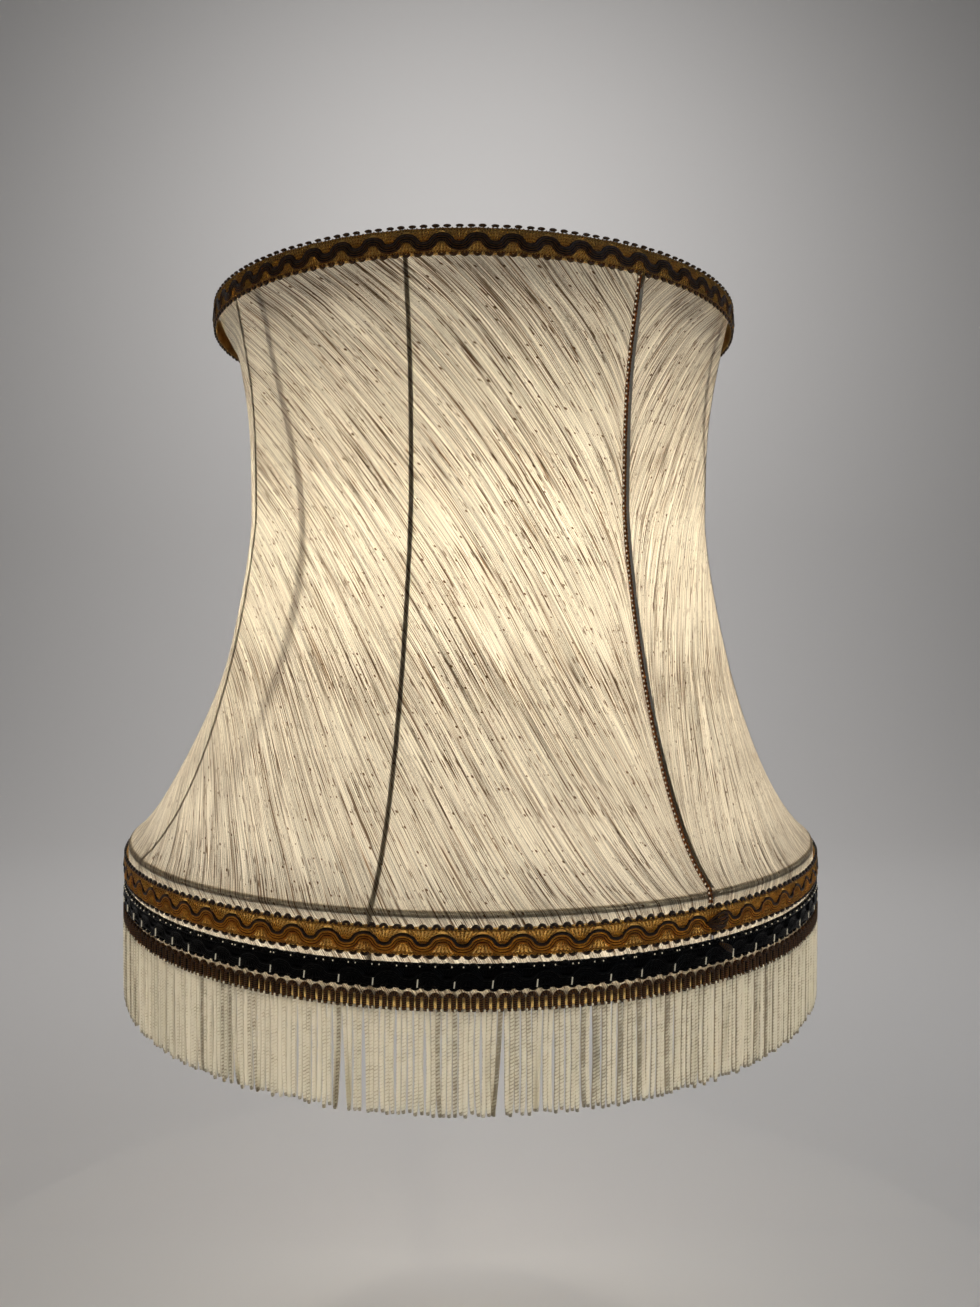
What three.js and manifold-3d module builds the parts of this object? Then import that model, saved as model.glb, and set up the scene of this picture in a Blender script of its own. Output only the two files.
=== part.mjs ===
// A bell-shaped lamp shade with an upright collar: a welded wire frame with a three-arm
// fitter, a two-piece silk cover, braid round the rim and the collar, and a hanging fringe.
// Lengths are in millimetres. Heights are measured from the shoulder ring's plane while the
// shade is built. The finished shade is then set with the seat of the fitter ring at the
// origin, +Z up, -Y to the front. Angles round the shade turn from the front towards +X.
import * as THREE from 'three';
import { mergeVertices } from 'three/addons/utils/BufferGeometryUtils.js';
import Module from 'manifold-3d';

// Outline of the cover's outside, over a rib
const bodyHeight = 294; // shoulder ring to top ring
const topRadius = 149.6;
const waistRadius = 137.6;
const waistHeight = 176.6;
const shoulderRadius = 197;
const collarStep = 1; // the collar stands this much outside the shoulder
const shoulderDrop = 3; // the height in which the cover turns upright
const flareAngle = THREE.MathUtils.degToRad(36.8); // slope of the flare at the shoulder
const topAngle = THREE.MathUtils.degToRad(10.8); // lean of the outline at the top ring
// How far each curve keeps its end's direction, as a share of its own height
const flareHold = 0.274;
const waistHoldBelow = 0.113;
const waistHoldAbove = 0.53;
const topHold = 0.46;

// Panels and seams
const panelCount = 8;
const seamAngle = THREE.MathUtils.degToRad(32.5);
const panelFlatness = 0.58; // share of the way from the round outline to the chord
const flatFromTop = 0.08; // share of the body's height in which the panels go flat
const flatFromShoulder = [0.07, 0.36]; // shares of the body's height where that starts and ends
const coverWall = 0.8;

// Frame
const ringWire = 3.5; // across the bound wire
const ribWire = 2.8;
const armWire = 3.2;
const armCount = 3;
const firstArmAngle = THREE.MathUtils.degToRad(-49);
const armBend = 9;
const armFoot = 6; // how far each arm lies on the fitter ring
const armBow = 11.5; // each arm swells sideways by this much, anticlockwise seen from above
const armBowRise = 0.503; // shares of the body's height: the bow's middle, and its reach down and up
const armBowReach = [0.255, 0.313];
const fitterHeight = 45; // shoulder ring to the fitter ring's seat
const fitterHoleRadius = 21;
const fitterOuterRadius = 29;
const fitterThickness = 2;

// Trimmings
const braidWidth = 14.3;
const braidThickness = 1.7;
const topBraidRise = 2.8; // above the top ring
const goldBraidDrop = 4.8; // below the shoulder ring
const braidSpacing = 1.4; // strip of silk between the gold braid and the black
const blackBraidWidth = 11.6;
const headerSpacing = 0.5; // black braid to fringe header
const headerWidth = 7.5;
const headerOverRing = 3.4; // the header starts this much above the bottom ring
const fringeThickness = 2;
const fringeLength = 44;
const seamCordWidth = 2;
const joinWidth = 9;
const joinThickness = 2.2;

// Space kept between pieces that touch
const gap = 0.3;

// The collar is as deep as the trimmings that it carries.
const collarRadius = shoulderRadius + collarStep;
const blackBraidDrop = goldBraidDrop + braidWidth + braidSpacing;
const headerDrop = blackBraidDrop + blackBraidWidth + headerSpacing;
const collarHeight = headerDrop + headerOverRing; // shoulder ring to bottom ring

const outlineSteps = 8; // in the flare, and again in the neck
const stepsPerPanel = 6;
const roundSteps = panelCount * stepsPerPanel;
const wireSides = 6;
const halfPanel = Math.PI / panelCount;

const wasm = await Module();
wasm.setup();

const finish = {
  wire: new THREE.MeshStandardMaterial({ color: 0x8b8378, roughness: 0.5, metalness: 0.8 }),
  tape: new THREE.MeshStandardMaterial({ color: 0xd9c8a8, roughness: 0.9, metalness: 0 }),
  silk: new THREE.MeshStandardMaterial({ color: 0xd8c3a0, roughness: 0.75, metalness: 0 }),
  goldGimp: new THREE.MeshStandardMaterial({ color: 0x8a5a1e, roughness: 0.55, metalness: 0 }),
  blackGimp: new THREE.MeshStandardMaterial({ color: 0x100d0c, roughness: 0.5, metalness: 0 }),
  fringe: new THREE.MeshStandardMaterial({ color: 0xe3d6ae, roughness: 0.7, metalness: 0 }),
};

const shade = new THREE.Group();

function weld(geometry) {
  const bare = geometry.clone();
  bare.deleteAttribute('normal');
  bare.deleteAttribute('uv');
  return mergeVertices(bare);
}

function addPiece(name, geometry, material) {
  const welded = weld(geometry);
  welded.computeVertexNormals();
  const mesh = new THREE.Mesh(welded, material);
  mesh.name = name;
  shade.add(mesh);
}

// The outline runs from the bottom edge of the collar to the top edge, as (radius, height).
const flareReach = flareHold * waistHeight;
const flare = new THREE.CubicBezierCurve(
  new THREE.Vector2(shoulderRadius, 0),
  new THREE.Vector2(
    shoulderRadius - flareReach * Math.cos(flareAngle),
    flareReach * Math.sin(flareAngle),
  ),
  new THREE.Vector2(waistRadius, (1 - waistHoldBelow) * waistHeight),
  new THREE.Vector2(waistRadius, waistHeight),
);
const neckRise = bodyHeight - waistHeight;
const topReach = topHold * neckRise;
const neck = new THREE.CubicBezierCurve(
  new THREE.Vector2(waistRadius, waistHeight),
  new THREE.Vector2(waistRadius, waistHeight + waistHoldAbove * neckRise),
  new THREE.Vector2(
    topRadius - topReach * Math.sin(topAngle),
    bodyHeight - topReach * Math.cos(topAngle),
  ),
  new THREE.Vector2(topRadius, bodyHeight),
);
const ringEdge = ringWire / 2;
const topEdge = new THREE.Vector2(
  topRadius + ringEdge * Math.sin(topAngle),
  bodyHeight + ringEdge * Math.cos(topAngle),
);

const bodyOutline = [
  ...flare.getSpacedPoints(outlineSteps),
  ...neck.getSpacedPoints(outlineSteps).slice(1),
];

// Moves an outline sideways by a distance, away from the axis when the distance is positive.
function offsetOutline(points, distance) {
  return points.map((point, i) => {
    const before = points[Math.max(i - 1, 0)];
    const after = points[Math.min(i + 1, points.length - 1)];
    const a = i > 0 ? point.clone().sub(before).normalize() : after.clone().sub(point).normalize();
    const b = i < points.length - 1 ? after.clone().sub(point).normalize() : a;
    const along = a.clone().add(b).normalize();
    const reach = distance / along.dot(a);
    return new THREE.Vector2(point.x + along.y * reach, point.y - along.x * reach);
  });
}

// Turns a closed outline round the axis, with its first step on the seam.
function turn(outline) {
  const lathe = new THREE.LatheGeometry([...outline, outline[0].clone()], roundSteps);
  lathe.rotateX(Math.PI / 2);
  lathe.rotateZ(seamAngle);
  return lathe;
}

// A point at a radius and height, in the meridian plane at an angle from the front
function place(radius, height, angle) {
  return new THREE.Vector3(radius * Math.sin(angle), -radius * Math.cos(angle), height);
}

// Straight runs between points, stepped at the points themselves
class Runs extends THREE.Curve {
  constructor(points) {
    super();
    this.points = points;
  }

  getPoint(t, target = new THREE.Vector3()) {
    const along = t * (this.points.length - 1);
    const from = Math.min(Math.floor(along), this.points.length - 2);
    return target.lerpVectors(this.points[from], this.points[from + 1], along - from);
  }

  getPointAt(u, target) {
    return this.getPoint(u, target);
  }

  getTangentAt(u, target) {
    return this.getTangent(u, target);
  }
}

function wireAlong(points, width) {
  const section = new THREE.Shape();
  for (let i = 0; i < wireSides; i += 1) {
    const turnBy = 2 * Math.PI * i / wireSides;
    const corner = [width / 2 * Math.cos(turnBy), width / 2 * Math.sin(turnBy)];
    if (i === 0) section.moveTo(...corner);
    else section.lineTo(...corner);
  }
  return new THREE.ExtrudeGeometry(section, {
    extrudePath: new Runs(points),
    steps: points.length - 1,
    bevelEnabled: false,
  });
}

// Solid from a closed welded geometry, and back, for cutting
function toSolid(geometry) {
  const welded = weld(geometry);
  return new wasm.Manifold(new wasm.Mesh({
    numProp: 3,
    vertProperties: Float32Array.from(welded.attributes.position.array),
    triVerts: Uint32Array.from(welded.index.array),
  }));
}

function toGeometry(solid) {
  const mesh = solid.getMesh();
  const geometry = new THREE.BufferGeometry();
  geometry.setAttribute('position', new THREE.BufferAttribute(mesh.vertProperties, 3));
  geometry.setIndex(new THREE.BufferAttribute(mesh.triVerts, 1));
  return geometry;
}

// Ring centres: each ring lies against the inside of the cover.
const shoulderOutline = [
  new THREE.Vector2(collarRadius, -collarHeight - ringEdge),
  new THREE.Vector2(collarRadius, -shoulderDrop),
  ...bodyOutline,
  topEdge,
];
const ringDepth = coverWall + gap + ringEdge;
const ringInset = offsetOutline(shoulderOutline, -ringDepth);
const bottomRing = new THREE.Vector2(collarRadius - ringDepth, -collarHeight);
const shoulderRing = ringInset[2];
const topRing = new THREE.Vector2(
  topRadius - ringDepth * Math.cos(topAngle),
  bodyHeight + ringDepth * Math.sin(topAngle),
);

function frameRing(centre) {
  const ring = new THREE.TorusGeometry(centre.x, ringEdge, wireSides, roundSteps);
  ring.rotateZ(seamAngle - Math.PI / 2);
  ring.translate(0, 0, centre.y);
  return ring;
}

function makeRings() {
  addPiece('top_ring', frameRing(topRing), finish.tape);
  addPiece('shoulder_ring', frameRing(shoulderRing), finish.tape);
  addPiece('bottom_ring', frameRing(bottomRing), finish.tape);
}

// Each rib follows the inside of the cover and is butted between two rings.
const ribDepth = coverWall + gap + ribWire / 2;
const ribClearance = ringEdge + gap;

function ribAngle(index) {
  return seamAngle + 2 * halfPanel * index;
}

function makeRibs() {
  const clear = ribClearance + ribWire;
  const inset = offsetOutline(bodyOutline, -ribDepth)
    .filter((p) => p.distanceTo(shoulderRing) > clear && p.distanceTo(topRing) > clear);
  const foot = inset[0].clone().sub(shoulderRing).setLength(ribClearance).add(shoulderRing);
  const head = inset.at(-1).clone().sub(topRing).setLength(ribClearance).add(topRing);
  const line = [foot, ...inset, head];
  const strutLow = bottomRing.y + ribClearance;
  const strutHigh = shoulderRing.y - ribClearance;
  const strutRadius = (bottomRing.x + shoulderRing.x) / 2;
  for (let i = 0; i < panelCount; i += 1) {
    const angle = ribAngle(i);
    const path = line.map((p) => place(p.x, p.y, angle));
    addPiece(`rib_${i + 1}`, wireAlong(path, ribWire), finish.wire);
    const strut = new THREE.CylinderGeometry(ribWire / 2, ribWire / 2, strutHigh - strutLow, wireSides);
    strut.rotateX(Math.PI / 2);
    strut.translate(...place(strutRadius, (strutLow + strutHigh) / 2, angle).toArray());
    addPiece(`collar_strut_${i + 1}`, strut, finish.wire);
  }
}

// How far an arm has swung sideways at this height
function bowAt(height) {
  const above = height / bodyHeight - armBowRise;
  const share = Math.min(Math.abs(above) / armBowReach[above < 0 ? 0 : 1], 1);
  return armBow * Math.cos(share * Math.PI / 2) ** 2;
}

// The fitter: a flat ring for the lampholder, and arms bent to lie on it and to reach the top ring
function makeFitter() {
  const plate = [
    new THREE.Vector2(fitterHoleRadius, fitterHeight),
    new THREE.Vector2(fitterOuterRadius, fitterHeight),
    new THREE.Vector2(fitterOuterRadius, fitterHeight + fitterThickness),
    new THREE.Vector2(fitterHoleRadius, fitterHeight + fitterThickness),
  ];
  addPiece('fitter_ring', turn(plate), finish.wire);
  const footHeight = fitterHeight + fitterThickness + gap + armWire / 2;
  const tip = new THREE.Vector2(fitterOuterRadius - armFoot, footHeight);
  const knee = new THREE.Vector2(fitterOuterRadius + armBend, footHeight);
  const shoulder = new THREE.Vector2(topRing.x - ribClearance - 2 * armBend, topRing.y);
  const head = new THREE.Vector2(topRing.x - ribClearance, topRing.y);
  const slope = shoulder.clone().sub(knee).setLength(armBend);
  const level = new THREE.Vector2(armBend, 0);
  const turns = [
    new THREE.QuadraticBezierCurve(knee.clone().sub(level), knee, knee.clone().add(slope)),
    new THREE.QuadraticBezierCurve(shoulder.clone().sub(slope), shoulder, shoulder.clone().add(level)),
  ];
  const [low, high] = turns.map((bend) => bend.getPoints(4));
  const leg = new THREE.LineCurve(low.at(-1), high[0]).getPoints(16).slice(1, -1);
  const line = [tip, ...low, ...leg, ...high, head];
  for (let i = 0; i < armCount; i += 1) {
    const angle = firstArmAngle + 2 * Math.PI * i / armCount;
    const path = line.map((p) => place(p.x, p.y, angle + bowAt(p.y) / p.x));
    addPiece(`fitter_arm_${i + 1}`, wireAlong(path, armWire), finish.wire);
  }
}

// Pulls the cloth in between the ribs, fully along the body and not at the rings.
function flatness(height) {
  const rise = height / bodyHeight;
  const underTop = THREE.MathUtils.smoothstep(1 - rise, 0, flatFromTop);
  const overShoulder = THREE.MathUtils.smoothstep(rise, ...flatFromShoulder);
  return panelFlatness * underTop * overShoulder;
}

function dipBetweenRibs(geometry) {
  const position = geometry.attributes.position;
  for (let i = 0; i < position.count; i += 1) {
    const angle = Math.atan2(position.getX(i), -position.getY(i)) - seamAngle;
    const fromRib = angle - 2 * halfPanel * Math.floor(angle / (2 * halfPanel));
    const chord = Math.cos(halfPanel) / Math.cos(fromRib - halfPanel);
    const scale = 1 + flatness(position.getZ(i)) * (chord - 1);
    position.setX(i, position.getX(i) * scale);
    position.setY(i, position.getY(i) * scale);
  }
}

// The cover is one shell cut into two halves along opposite ribs.
function makeCover() {
  const inner = offsetOutline(shoulderOutline, -coverWall);
  const shell = turn([...shoulderOutline, ...inner.reverse()]);
  dipBetweenRibs(shell);
  const whole = toSolid(shell);
  const span = 3 * (collarRadius + bodyHeight);
  for (const [name, side] of [['cover_left', -1], ['cover_right', 1]]) {
    const half = new THREE.BoxGeometry(span, span, span);
    half.translate(side * (span + gap) / 2, 0, 0);
    half.rotateZ(seamAngle);
    addPiece(name, toGeometry(whole.intersect(toSolid(half))), finish.silk);
  }
}

// A cord laid over each seam, from the shoulder to the top braid
function makeSeamCords() {
  const depth = gap + seamCordWidth / 2;
  const low = seamCordWidth;
  const high = bodyHeight + topBraidRise - braidWidth - gap;
  const line = offsetOutline(bodyOutline, depth);
  const inside = line.filter((p) => p.y > low && p.y < high - seamCordWidth);
  const above = line.find((p) => p.y > inside.at(-1).y);
  const last = inside.at(-1).clone().lerp(above, (high - inside.at(-1).y) / (above.y - inside.at(-1).y));
  for (const [name, angle] of [['seam_cord_right', seamAngle], ['seam_cord_left', seamAngle + Math.PI]]) {
    const points = [...inside, last].map((p) => place(p.x, p.y, angle));
    addPiece(name, wireAlong(points, seamCordWidth), finish.goldGimp);
  }
}

// Bands of trimming: straight-sided rings with eased outer edges
function band(innerRadius, thickness, low, high) {
  const ease = 0.4 * thickness;
  const outer = innerRadius + thickness;
  return turn([
    new THREE.Vector2(innerRadius, low),
    new THREE.Vector2(outer - ease, low),
    new THREE.Vector2(outer, low + ease),
    new THREE.Vector2(outer, high - ease),
    new THREE.Vector2(outer - ease, high),
    new THREE.Vector2(innerRadius, high),
  ]);
}

const collarTrimRadius = collarRadius + gap;

function makeTrimmings() {
  const rim = bodyHeight + topBraidRise;
  const rimRadius = topEdge.x + gap;
  const headerLow = -headerDrop - headerWidth;
  const fringeHigh = headerLow - gap;
  addPiece('top_braid', band(rimRadius, braidThickness, rim - braidWidth, rim), finish.goldGimp);
  addPiece(
    'gold_braid',
    band(collarTrimRadius, braidThickness, -goldBraidDrop - braidWidth, -goldBraidDrop),
    finish.goldGimp,
  );
  addPiece(
    'black_braid',
    band(collarTrimRadius, braidThickness, -blackBraidDrop - blackBraidWidth, -blackBraidDrop),
    finish.blackGimp,
  );
  addPiece('fringe_header', band(collarTrimRadius, fringeThickness, headerLow, -headerDrop), finish.goldGimp);
  addPiece(
    'fringe',
    band(collarTrimRadius, fringeThickness, fringeHigh - fringeLength, fringeHigh),
    finish.fringe,
  );
}

// The folded ends of the two collar braids, lapped over the seam
function braidJoin(drop, width) {
  const tab = new THREE.BoxGeometry(joinWidth, joinThickness, width);
  const reach = collarTrimRadius + braidThickness + gap + joinThickness / 2;
  tab.translate(0, -reach, -drop - width / 2);
  tab.rotateZ(seamAngle);
  return tab;
}

function makeJoins() {
  addPiece('gold_braid_join', braidJoin(goldBraidDrop, braidWidth), finish.goldGimp);
  addPiece('black_braid_join', braidJoin(blackBraidDrop, blackBraidWidth), finish.blackGimp);
}

makeRings();
makeRibs();
makeFitter();
makeCover();
makeSeamCords();
makeTrimmings();
makeJoins();
shade.position.z = -fitterHeight;

export default shade;
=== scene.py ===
# %% [markdown]
# # A bell-shaped silk lamp shade with braid and fringe
#
# The shade is a wire frame dressed in slub silk. The frame's rings, ribs and fitter come from
# a CAD model, which this script loads first and never moves. Every finished piece is then built
# round it in metres, with +Z up and the seat of the fitter ring at the origin.

# %% Load the frame
import math

import bmesh
import bpy
import numpy as np
from mathutils import Matrix, Vector


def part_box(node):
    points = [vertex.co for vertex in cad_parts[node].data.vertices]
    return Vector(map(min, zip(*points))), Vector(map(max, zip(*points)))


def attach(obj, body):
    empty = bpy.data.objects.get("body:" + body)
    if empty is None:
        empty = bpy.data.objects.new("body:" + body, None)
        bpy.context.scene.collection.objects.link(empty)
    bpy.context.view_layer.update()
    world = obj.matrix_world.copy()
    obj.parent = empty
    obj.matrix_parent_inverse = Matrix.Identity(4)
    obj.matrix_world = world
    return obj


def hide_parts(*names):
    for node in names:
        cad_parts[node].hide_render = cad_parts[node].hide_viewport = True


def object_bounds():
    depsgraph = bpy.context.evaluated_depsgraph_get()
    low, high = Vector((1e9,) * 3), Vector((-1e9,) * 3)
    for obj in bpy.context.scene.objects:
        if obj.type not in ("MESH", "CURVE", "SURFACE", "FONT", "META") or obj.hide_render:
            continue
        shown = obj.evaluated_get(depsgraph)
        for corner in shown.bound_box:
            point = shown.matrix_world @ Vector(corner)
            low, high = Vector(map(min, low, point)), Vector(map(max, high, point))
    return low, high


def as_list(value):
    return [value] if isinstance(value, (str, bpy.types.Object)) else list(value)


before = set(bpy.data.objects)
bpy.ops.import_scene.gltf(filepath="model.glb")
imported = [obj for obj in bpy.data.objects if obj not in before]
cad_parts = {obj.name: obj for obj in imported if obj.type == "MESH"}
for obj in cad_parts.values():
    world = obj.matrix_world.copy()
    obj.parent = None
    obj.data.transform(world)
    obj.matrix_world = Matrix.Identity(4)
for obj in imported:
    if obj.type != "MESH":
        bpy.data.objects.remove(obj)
cad_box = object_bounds()
MM = 0.001
print("CAD box, mm:", [[round(c / MM, 1) for c in corner] for corner in cad_box])

# %% [markdown]
# ## Camera
#
# The camera stands a little above the shoulder of the shade and close to it, so the round rim
# and the round collar both open towards it: the rim is seen from below and the collar from
# above. A close camera with a short lens gives that spread; a far one would flatten it.

# %% Set the camera
SHOULDER = -45 * MM  # height of the shoulder ring's plane in the frame
camera_data = bpy.data.cameras.new("camera")
camera_data.sensor_fit = "AUTO"
camera_data.sensor_width = 36
camera_data.lens = 26.65
camera_data.clip_start = 0.01
camera = bpy.data.objects.new("camera", camera_data)
bpy.context.collection.objects.link(camera)
camera.location = (0, -589.1 * MM, SHOULDER + 115.7 * MM)
TURN, TIP, ROLL = 0.017, -0.026, 0.004  # radians to the right, up and about the view
forward = Vector((math.sin(TURN) * math.cos(TIP), math.cos(TURN) * math.cos(TIP), math.sin(TIP)))
aim = forward.to_track_quat("-Z", "Y").to_matrix().to_4x4()
camera.matrix_world = Matrix.Translation(camera.location) @ aim @ Matrix.Rotation(ROLL, 4, "Z")
bpy.context.scene.camera = camera
print("camera lens", camera_data.lens, "mm at", [round(c, 4) for c in camera.location])

# %% [markdown]
# ## The outline
#
# One curve shapes the whole shade: a flare that rises from the shoulder ring and draws in to
# the waist, and a neck that opens again to the top ring. Two Bezier arcs with an upright
# tangent at the waist give it with four sizes and four handles. The same values drive the CAD
# solids. Between two ribs the cloth is pulled towards the straight line that joins them, so
# the section is round at the rings and softly eight-sided at the waist.

# %% Outline of the cover
TOP_RADIUS, WAIST_RADIUS, SHOULDER_RADIUS, COLLAR_RADIUS = 149.6 * MM, 137.6 * MM, 197 * MM, 198 * MM
BODY_HEIGHT, WAIST_HEIGHT = 294 * MM, 176.6 * MM
FLARE_ANGLE, TOP_ANGLE = math.radians(36.8), math.radians(10.8)
FLARE_HOLD, WAIST_HOLD_BELOW, WAIST_HOLD_ABOVE, TOP_HOLD = 0.274, 0.113, 0.53, 0.46
RIBS = 8
SEAM = math.radians(32.5)  # from the front towards +X
PANEL = 2 * math.pi / RIBS
FLATNESS = 0.58  # 0 is a round waist, 1 an eight-sided one


def bezier(points, steps):
    t = np.linspace(0, 1, steps)[:, None]
    a, b, c, d = (np.array(p) for p in points)
    return (1 - t) ** 3 * a + 3 * (1 - t) ** 2 * t * b + 3 * (1 - t) * t ** 2 * c + t ** 3 * d


def arc(centre, radius, start, end, steps):
    turn = np.linspace(start, end, steps)
    return np.stack([centre[0] + radius * np.cos(turn), centre[1] + radius * np.sin(turn)], 1)


def body_outline(steps=200):
    """(radius, height above the shoulder) from the shoulder to the top ring, over a rib"""
    reach, rise = FLARE_HOLD * WAIST_HEIGHT, BODY_HEIGHT - WAIST_HEIGHT
    flare = bezier([
        (SHOULDER_RADIUS, 0),
        (SHOULDER_RADIUS - reach * math.cos(FLARE_ANGLE), reach * math.sin(FLARE_ANGLE)),
        (WAIST_RADIUS, (1 - WAIST_HOLD_BELOW) * WAIST_HEIGHT),
        (WAIST_RADIUS, WAIST_HEIGHT)], steps)
    neck = bezier([
        (WAIST_RADIUS, WAIST_HEIGHT),
        (WAIST_RADIUS, WAIST_HEIGHT + WAIST_HOLD_ABOVE * rise),
        (TOP_RADIUS - TOP_HOLD * rise * math.sin(TOP_ANGLE),
         BODY_HEIGHT - TOP_HOLD * rise * math.cos(TOP_ANGLE)),
        (TOP_RADIUS, BODY_HEIGHT)], steps)
    return np.vstack([flare, neck[1:]])


OUTLINE = body_outline()


def run_of(line):
    """The length along a line at each of its points"""
    return np.r_[0, np.cumsum(np.linalg.norm(np.diff(line, axis=0), axis=1))]


def resample(points, count):
    """The same line with evenly spaced points"""
    step = run_of(points)
    at = np.linspace(0, step[-1], count)
    return np.stack([np.interp(at, step, points[:, i]) for i in range(points.shape[1])], 1)


def offset(points, distance):
    """The line moved sideways, away from the axis when the distance is positive"""
    along = np.gradient(points, axis=0)
    along /= np.linalg.norm(along, axis=1)[:, None]
    return points + distance * np.stack([along[:, 1], -along[:, 0]], 1)


def ease(x, low, high):
    t = np.clip((x - low) / (high - low), 0, 1)
    return t * t * (3 - 2 * t)


def draw_in(angle, height):
    """How much nearer the axis the cloth lies at this angle than over a rib"""
    rise = height / BODY_HEIGHT
    flat = FLATNESS * ease(1 - rise, 0, 0.08) * ease(rise, 0.07, 0.36)
    from_rib = np.mod(angle - SEAM, PANEL)
    return 1 + flat * (np.cos(PANEL / 2) / np.cos(from_rib - PANEL / 2) - 1)


def place(radius, height, angle):
    """Points in the frame from radius, height above the shoulder and angle from the front"""
    radius, height, angle = np.broadcast_arrays(radius, height, angle)
    return np.stack([radius * np.sin(angle), -radius * np.cos(angle), SHOULDER + height], -1)


print("outline length, mm:", round(run_of(OUTLINE)[-1] / MM, 1))

# %% [markdown]
# ## A small kit for node trees
#
# A material or a Geometry Nodes tree is easier to read as sums than as a web of wires. `Value`
# wraps one socket and overloads the operators, so `1 - mask` adds a Math node. `Kit.node` makes
# any other node from its type, its settings and its sockets, and a few short methods name the
# nodes that come up again and again.


# %% Node kit
class Value:
    def __init__(self, kit, socket):
        self.kit, self.socket = kit, socket

    def math(self, operation, *others):
        return self.kit.math(operation, self, *others)

    def out(self, name):
        return Value(self.kit, self.socket.node.outputs[name])

    def __add__(self, other):
        return self.kit.math("ADD", self, other)

    def __mul__(self, other):
        return self.kit.math("MULTIPLY", self, other)

    def __sub__(self, other):
        return self.kit.math("SUBTRACT", self, other)

    def __rsub__(self, other):
        return self.kit.math("SUBTRACT", other, self)

    def __truediv__(self, other):
        return self.kit.math("DIVIDE", self, other)

    def __rtruediv__(self, other):
        return self.kit.math("DIVIDE", other, self)

    def __pow__(self, other):
        return self.kit.math("POWER", self, other)

    __radd__ = __add__
    __rmul__ = __mul__


class Kit:
    def __init__(self, tree):
        self.tree = tree

    def put(self, socket, value):
        """Link a value to a socket, or set a plain one on it"""
        if isinstance(value, Value):
            self.tree.links.new(value.socket, socket)
        else:
            socket.default_value = value

    def node(self, kind, settings=None, sockets=None, out=0):
        node = self.tree.nodes.new(kind)
        for key, value in (settings or {}).items():
            setattr(node, key, value)
        for key, value in (sockets or {}).items():
            self.put(node.inputs[key], value)
        return Value(self, node.outputs[out])

    def math(self, operation, *values):
        return self.node("ShaderNodeMath", {"operation": operation}, dict(enumerate(values)))

    def step(self, value, low, high):
        """0 below low and 1 above high, eased between"""
        return self.node("ShaderNodeMapRange", {"interpolation_type": "SMOOTHSTEP"},
                         {"Value": value, "From Min": low, "From Max": high})

    def blend(self, share, a, b):
        """Colour a where share is 0, b where it is 1"""
        mixed = self.node("ShaderNodeMix", {"data_type": "RGBA"}, {"Factor": share}, out=2)
        for key, colour in ((6, a), (7, b)):
            plain = colour if isinstance(colour, Value) else (*colour, 1)
            self.put(mixed.socket.node.inputs[key], plain)
        return mixed

    def attribute(self, name):
        return self.node("ShaderNodeAttribute", {"attribute_name": name}, out="Fac")

    def noise(self, where, scale, detail):
        sockets = {"Vector": where, "Scale": scale, "Detail": detail}
        return self.node("ShaderNodeTexNoise", {}, sockets, out="Fac")

    def bump(self, height, strength, distance):
        return self.node("ShaderNodeBump", {}, {"Strength": strength, "Distance": distance, "Height": height})

    def translucent(self, colour):
        return self.node("ShaderNodeBsdfTranslucent", {}, {"Color": (*colour, 1)})

    def mix(self, share, a, b):
        """Shader a where share is 0, b where it is 1"""
        return self.node("ShaderNodeMixShader", {}, {0: share, 1: a, 2: b})


def material(name):
    made = bpy.data.materials.new(name)
    made.use_nodes = True
    made.node_tree.nodes.clear()
    kit = Kit(made.node_tree)
    kit.output = made.node_tree.nodes.new("ShaderNodeOutputMaterial")
    return made, kit


def show(kit, shader):
    kit.tree.links.new(shader.socket, kit.output.inputs["Surface"])


# %% [markdown]
# ## Cord finishes
#
# Gimp, header, fringe and seam cord are all made of twisted yarn. Each swept cord carries two
# attributes: how far along it a point lies, in metres, and how far round it, from 0 to 1. A
# sawtooth of the two winds round the cord as its plies do, and it drives both the bump and a
# darker line between plies, which is painted shade. The sides of each cord, away from its outward
# face, are darkened as painted shade too. Viscose yarn has a silky gloss, and thin cords let
# lamplight through, so a translucent share is mixed in. `tint` darkens one cord of many, and
# `drop` darkens a fringe cord's cut tip. A finish can also be given a painted glow by emission.


# %% Cord material
OUTWARD = 0.75  # where round the section a cord faces away from the shade


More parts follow.
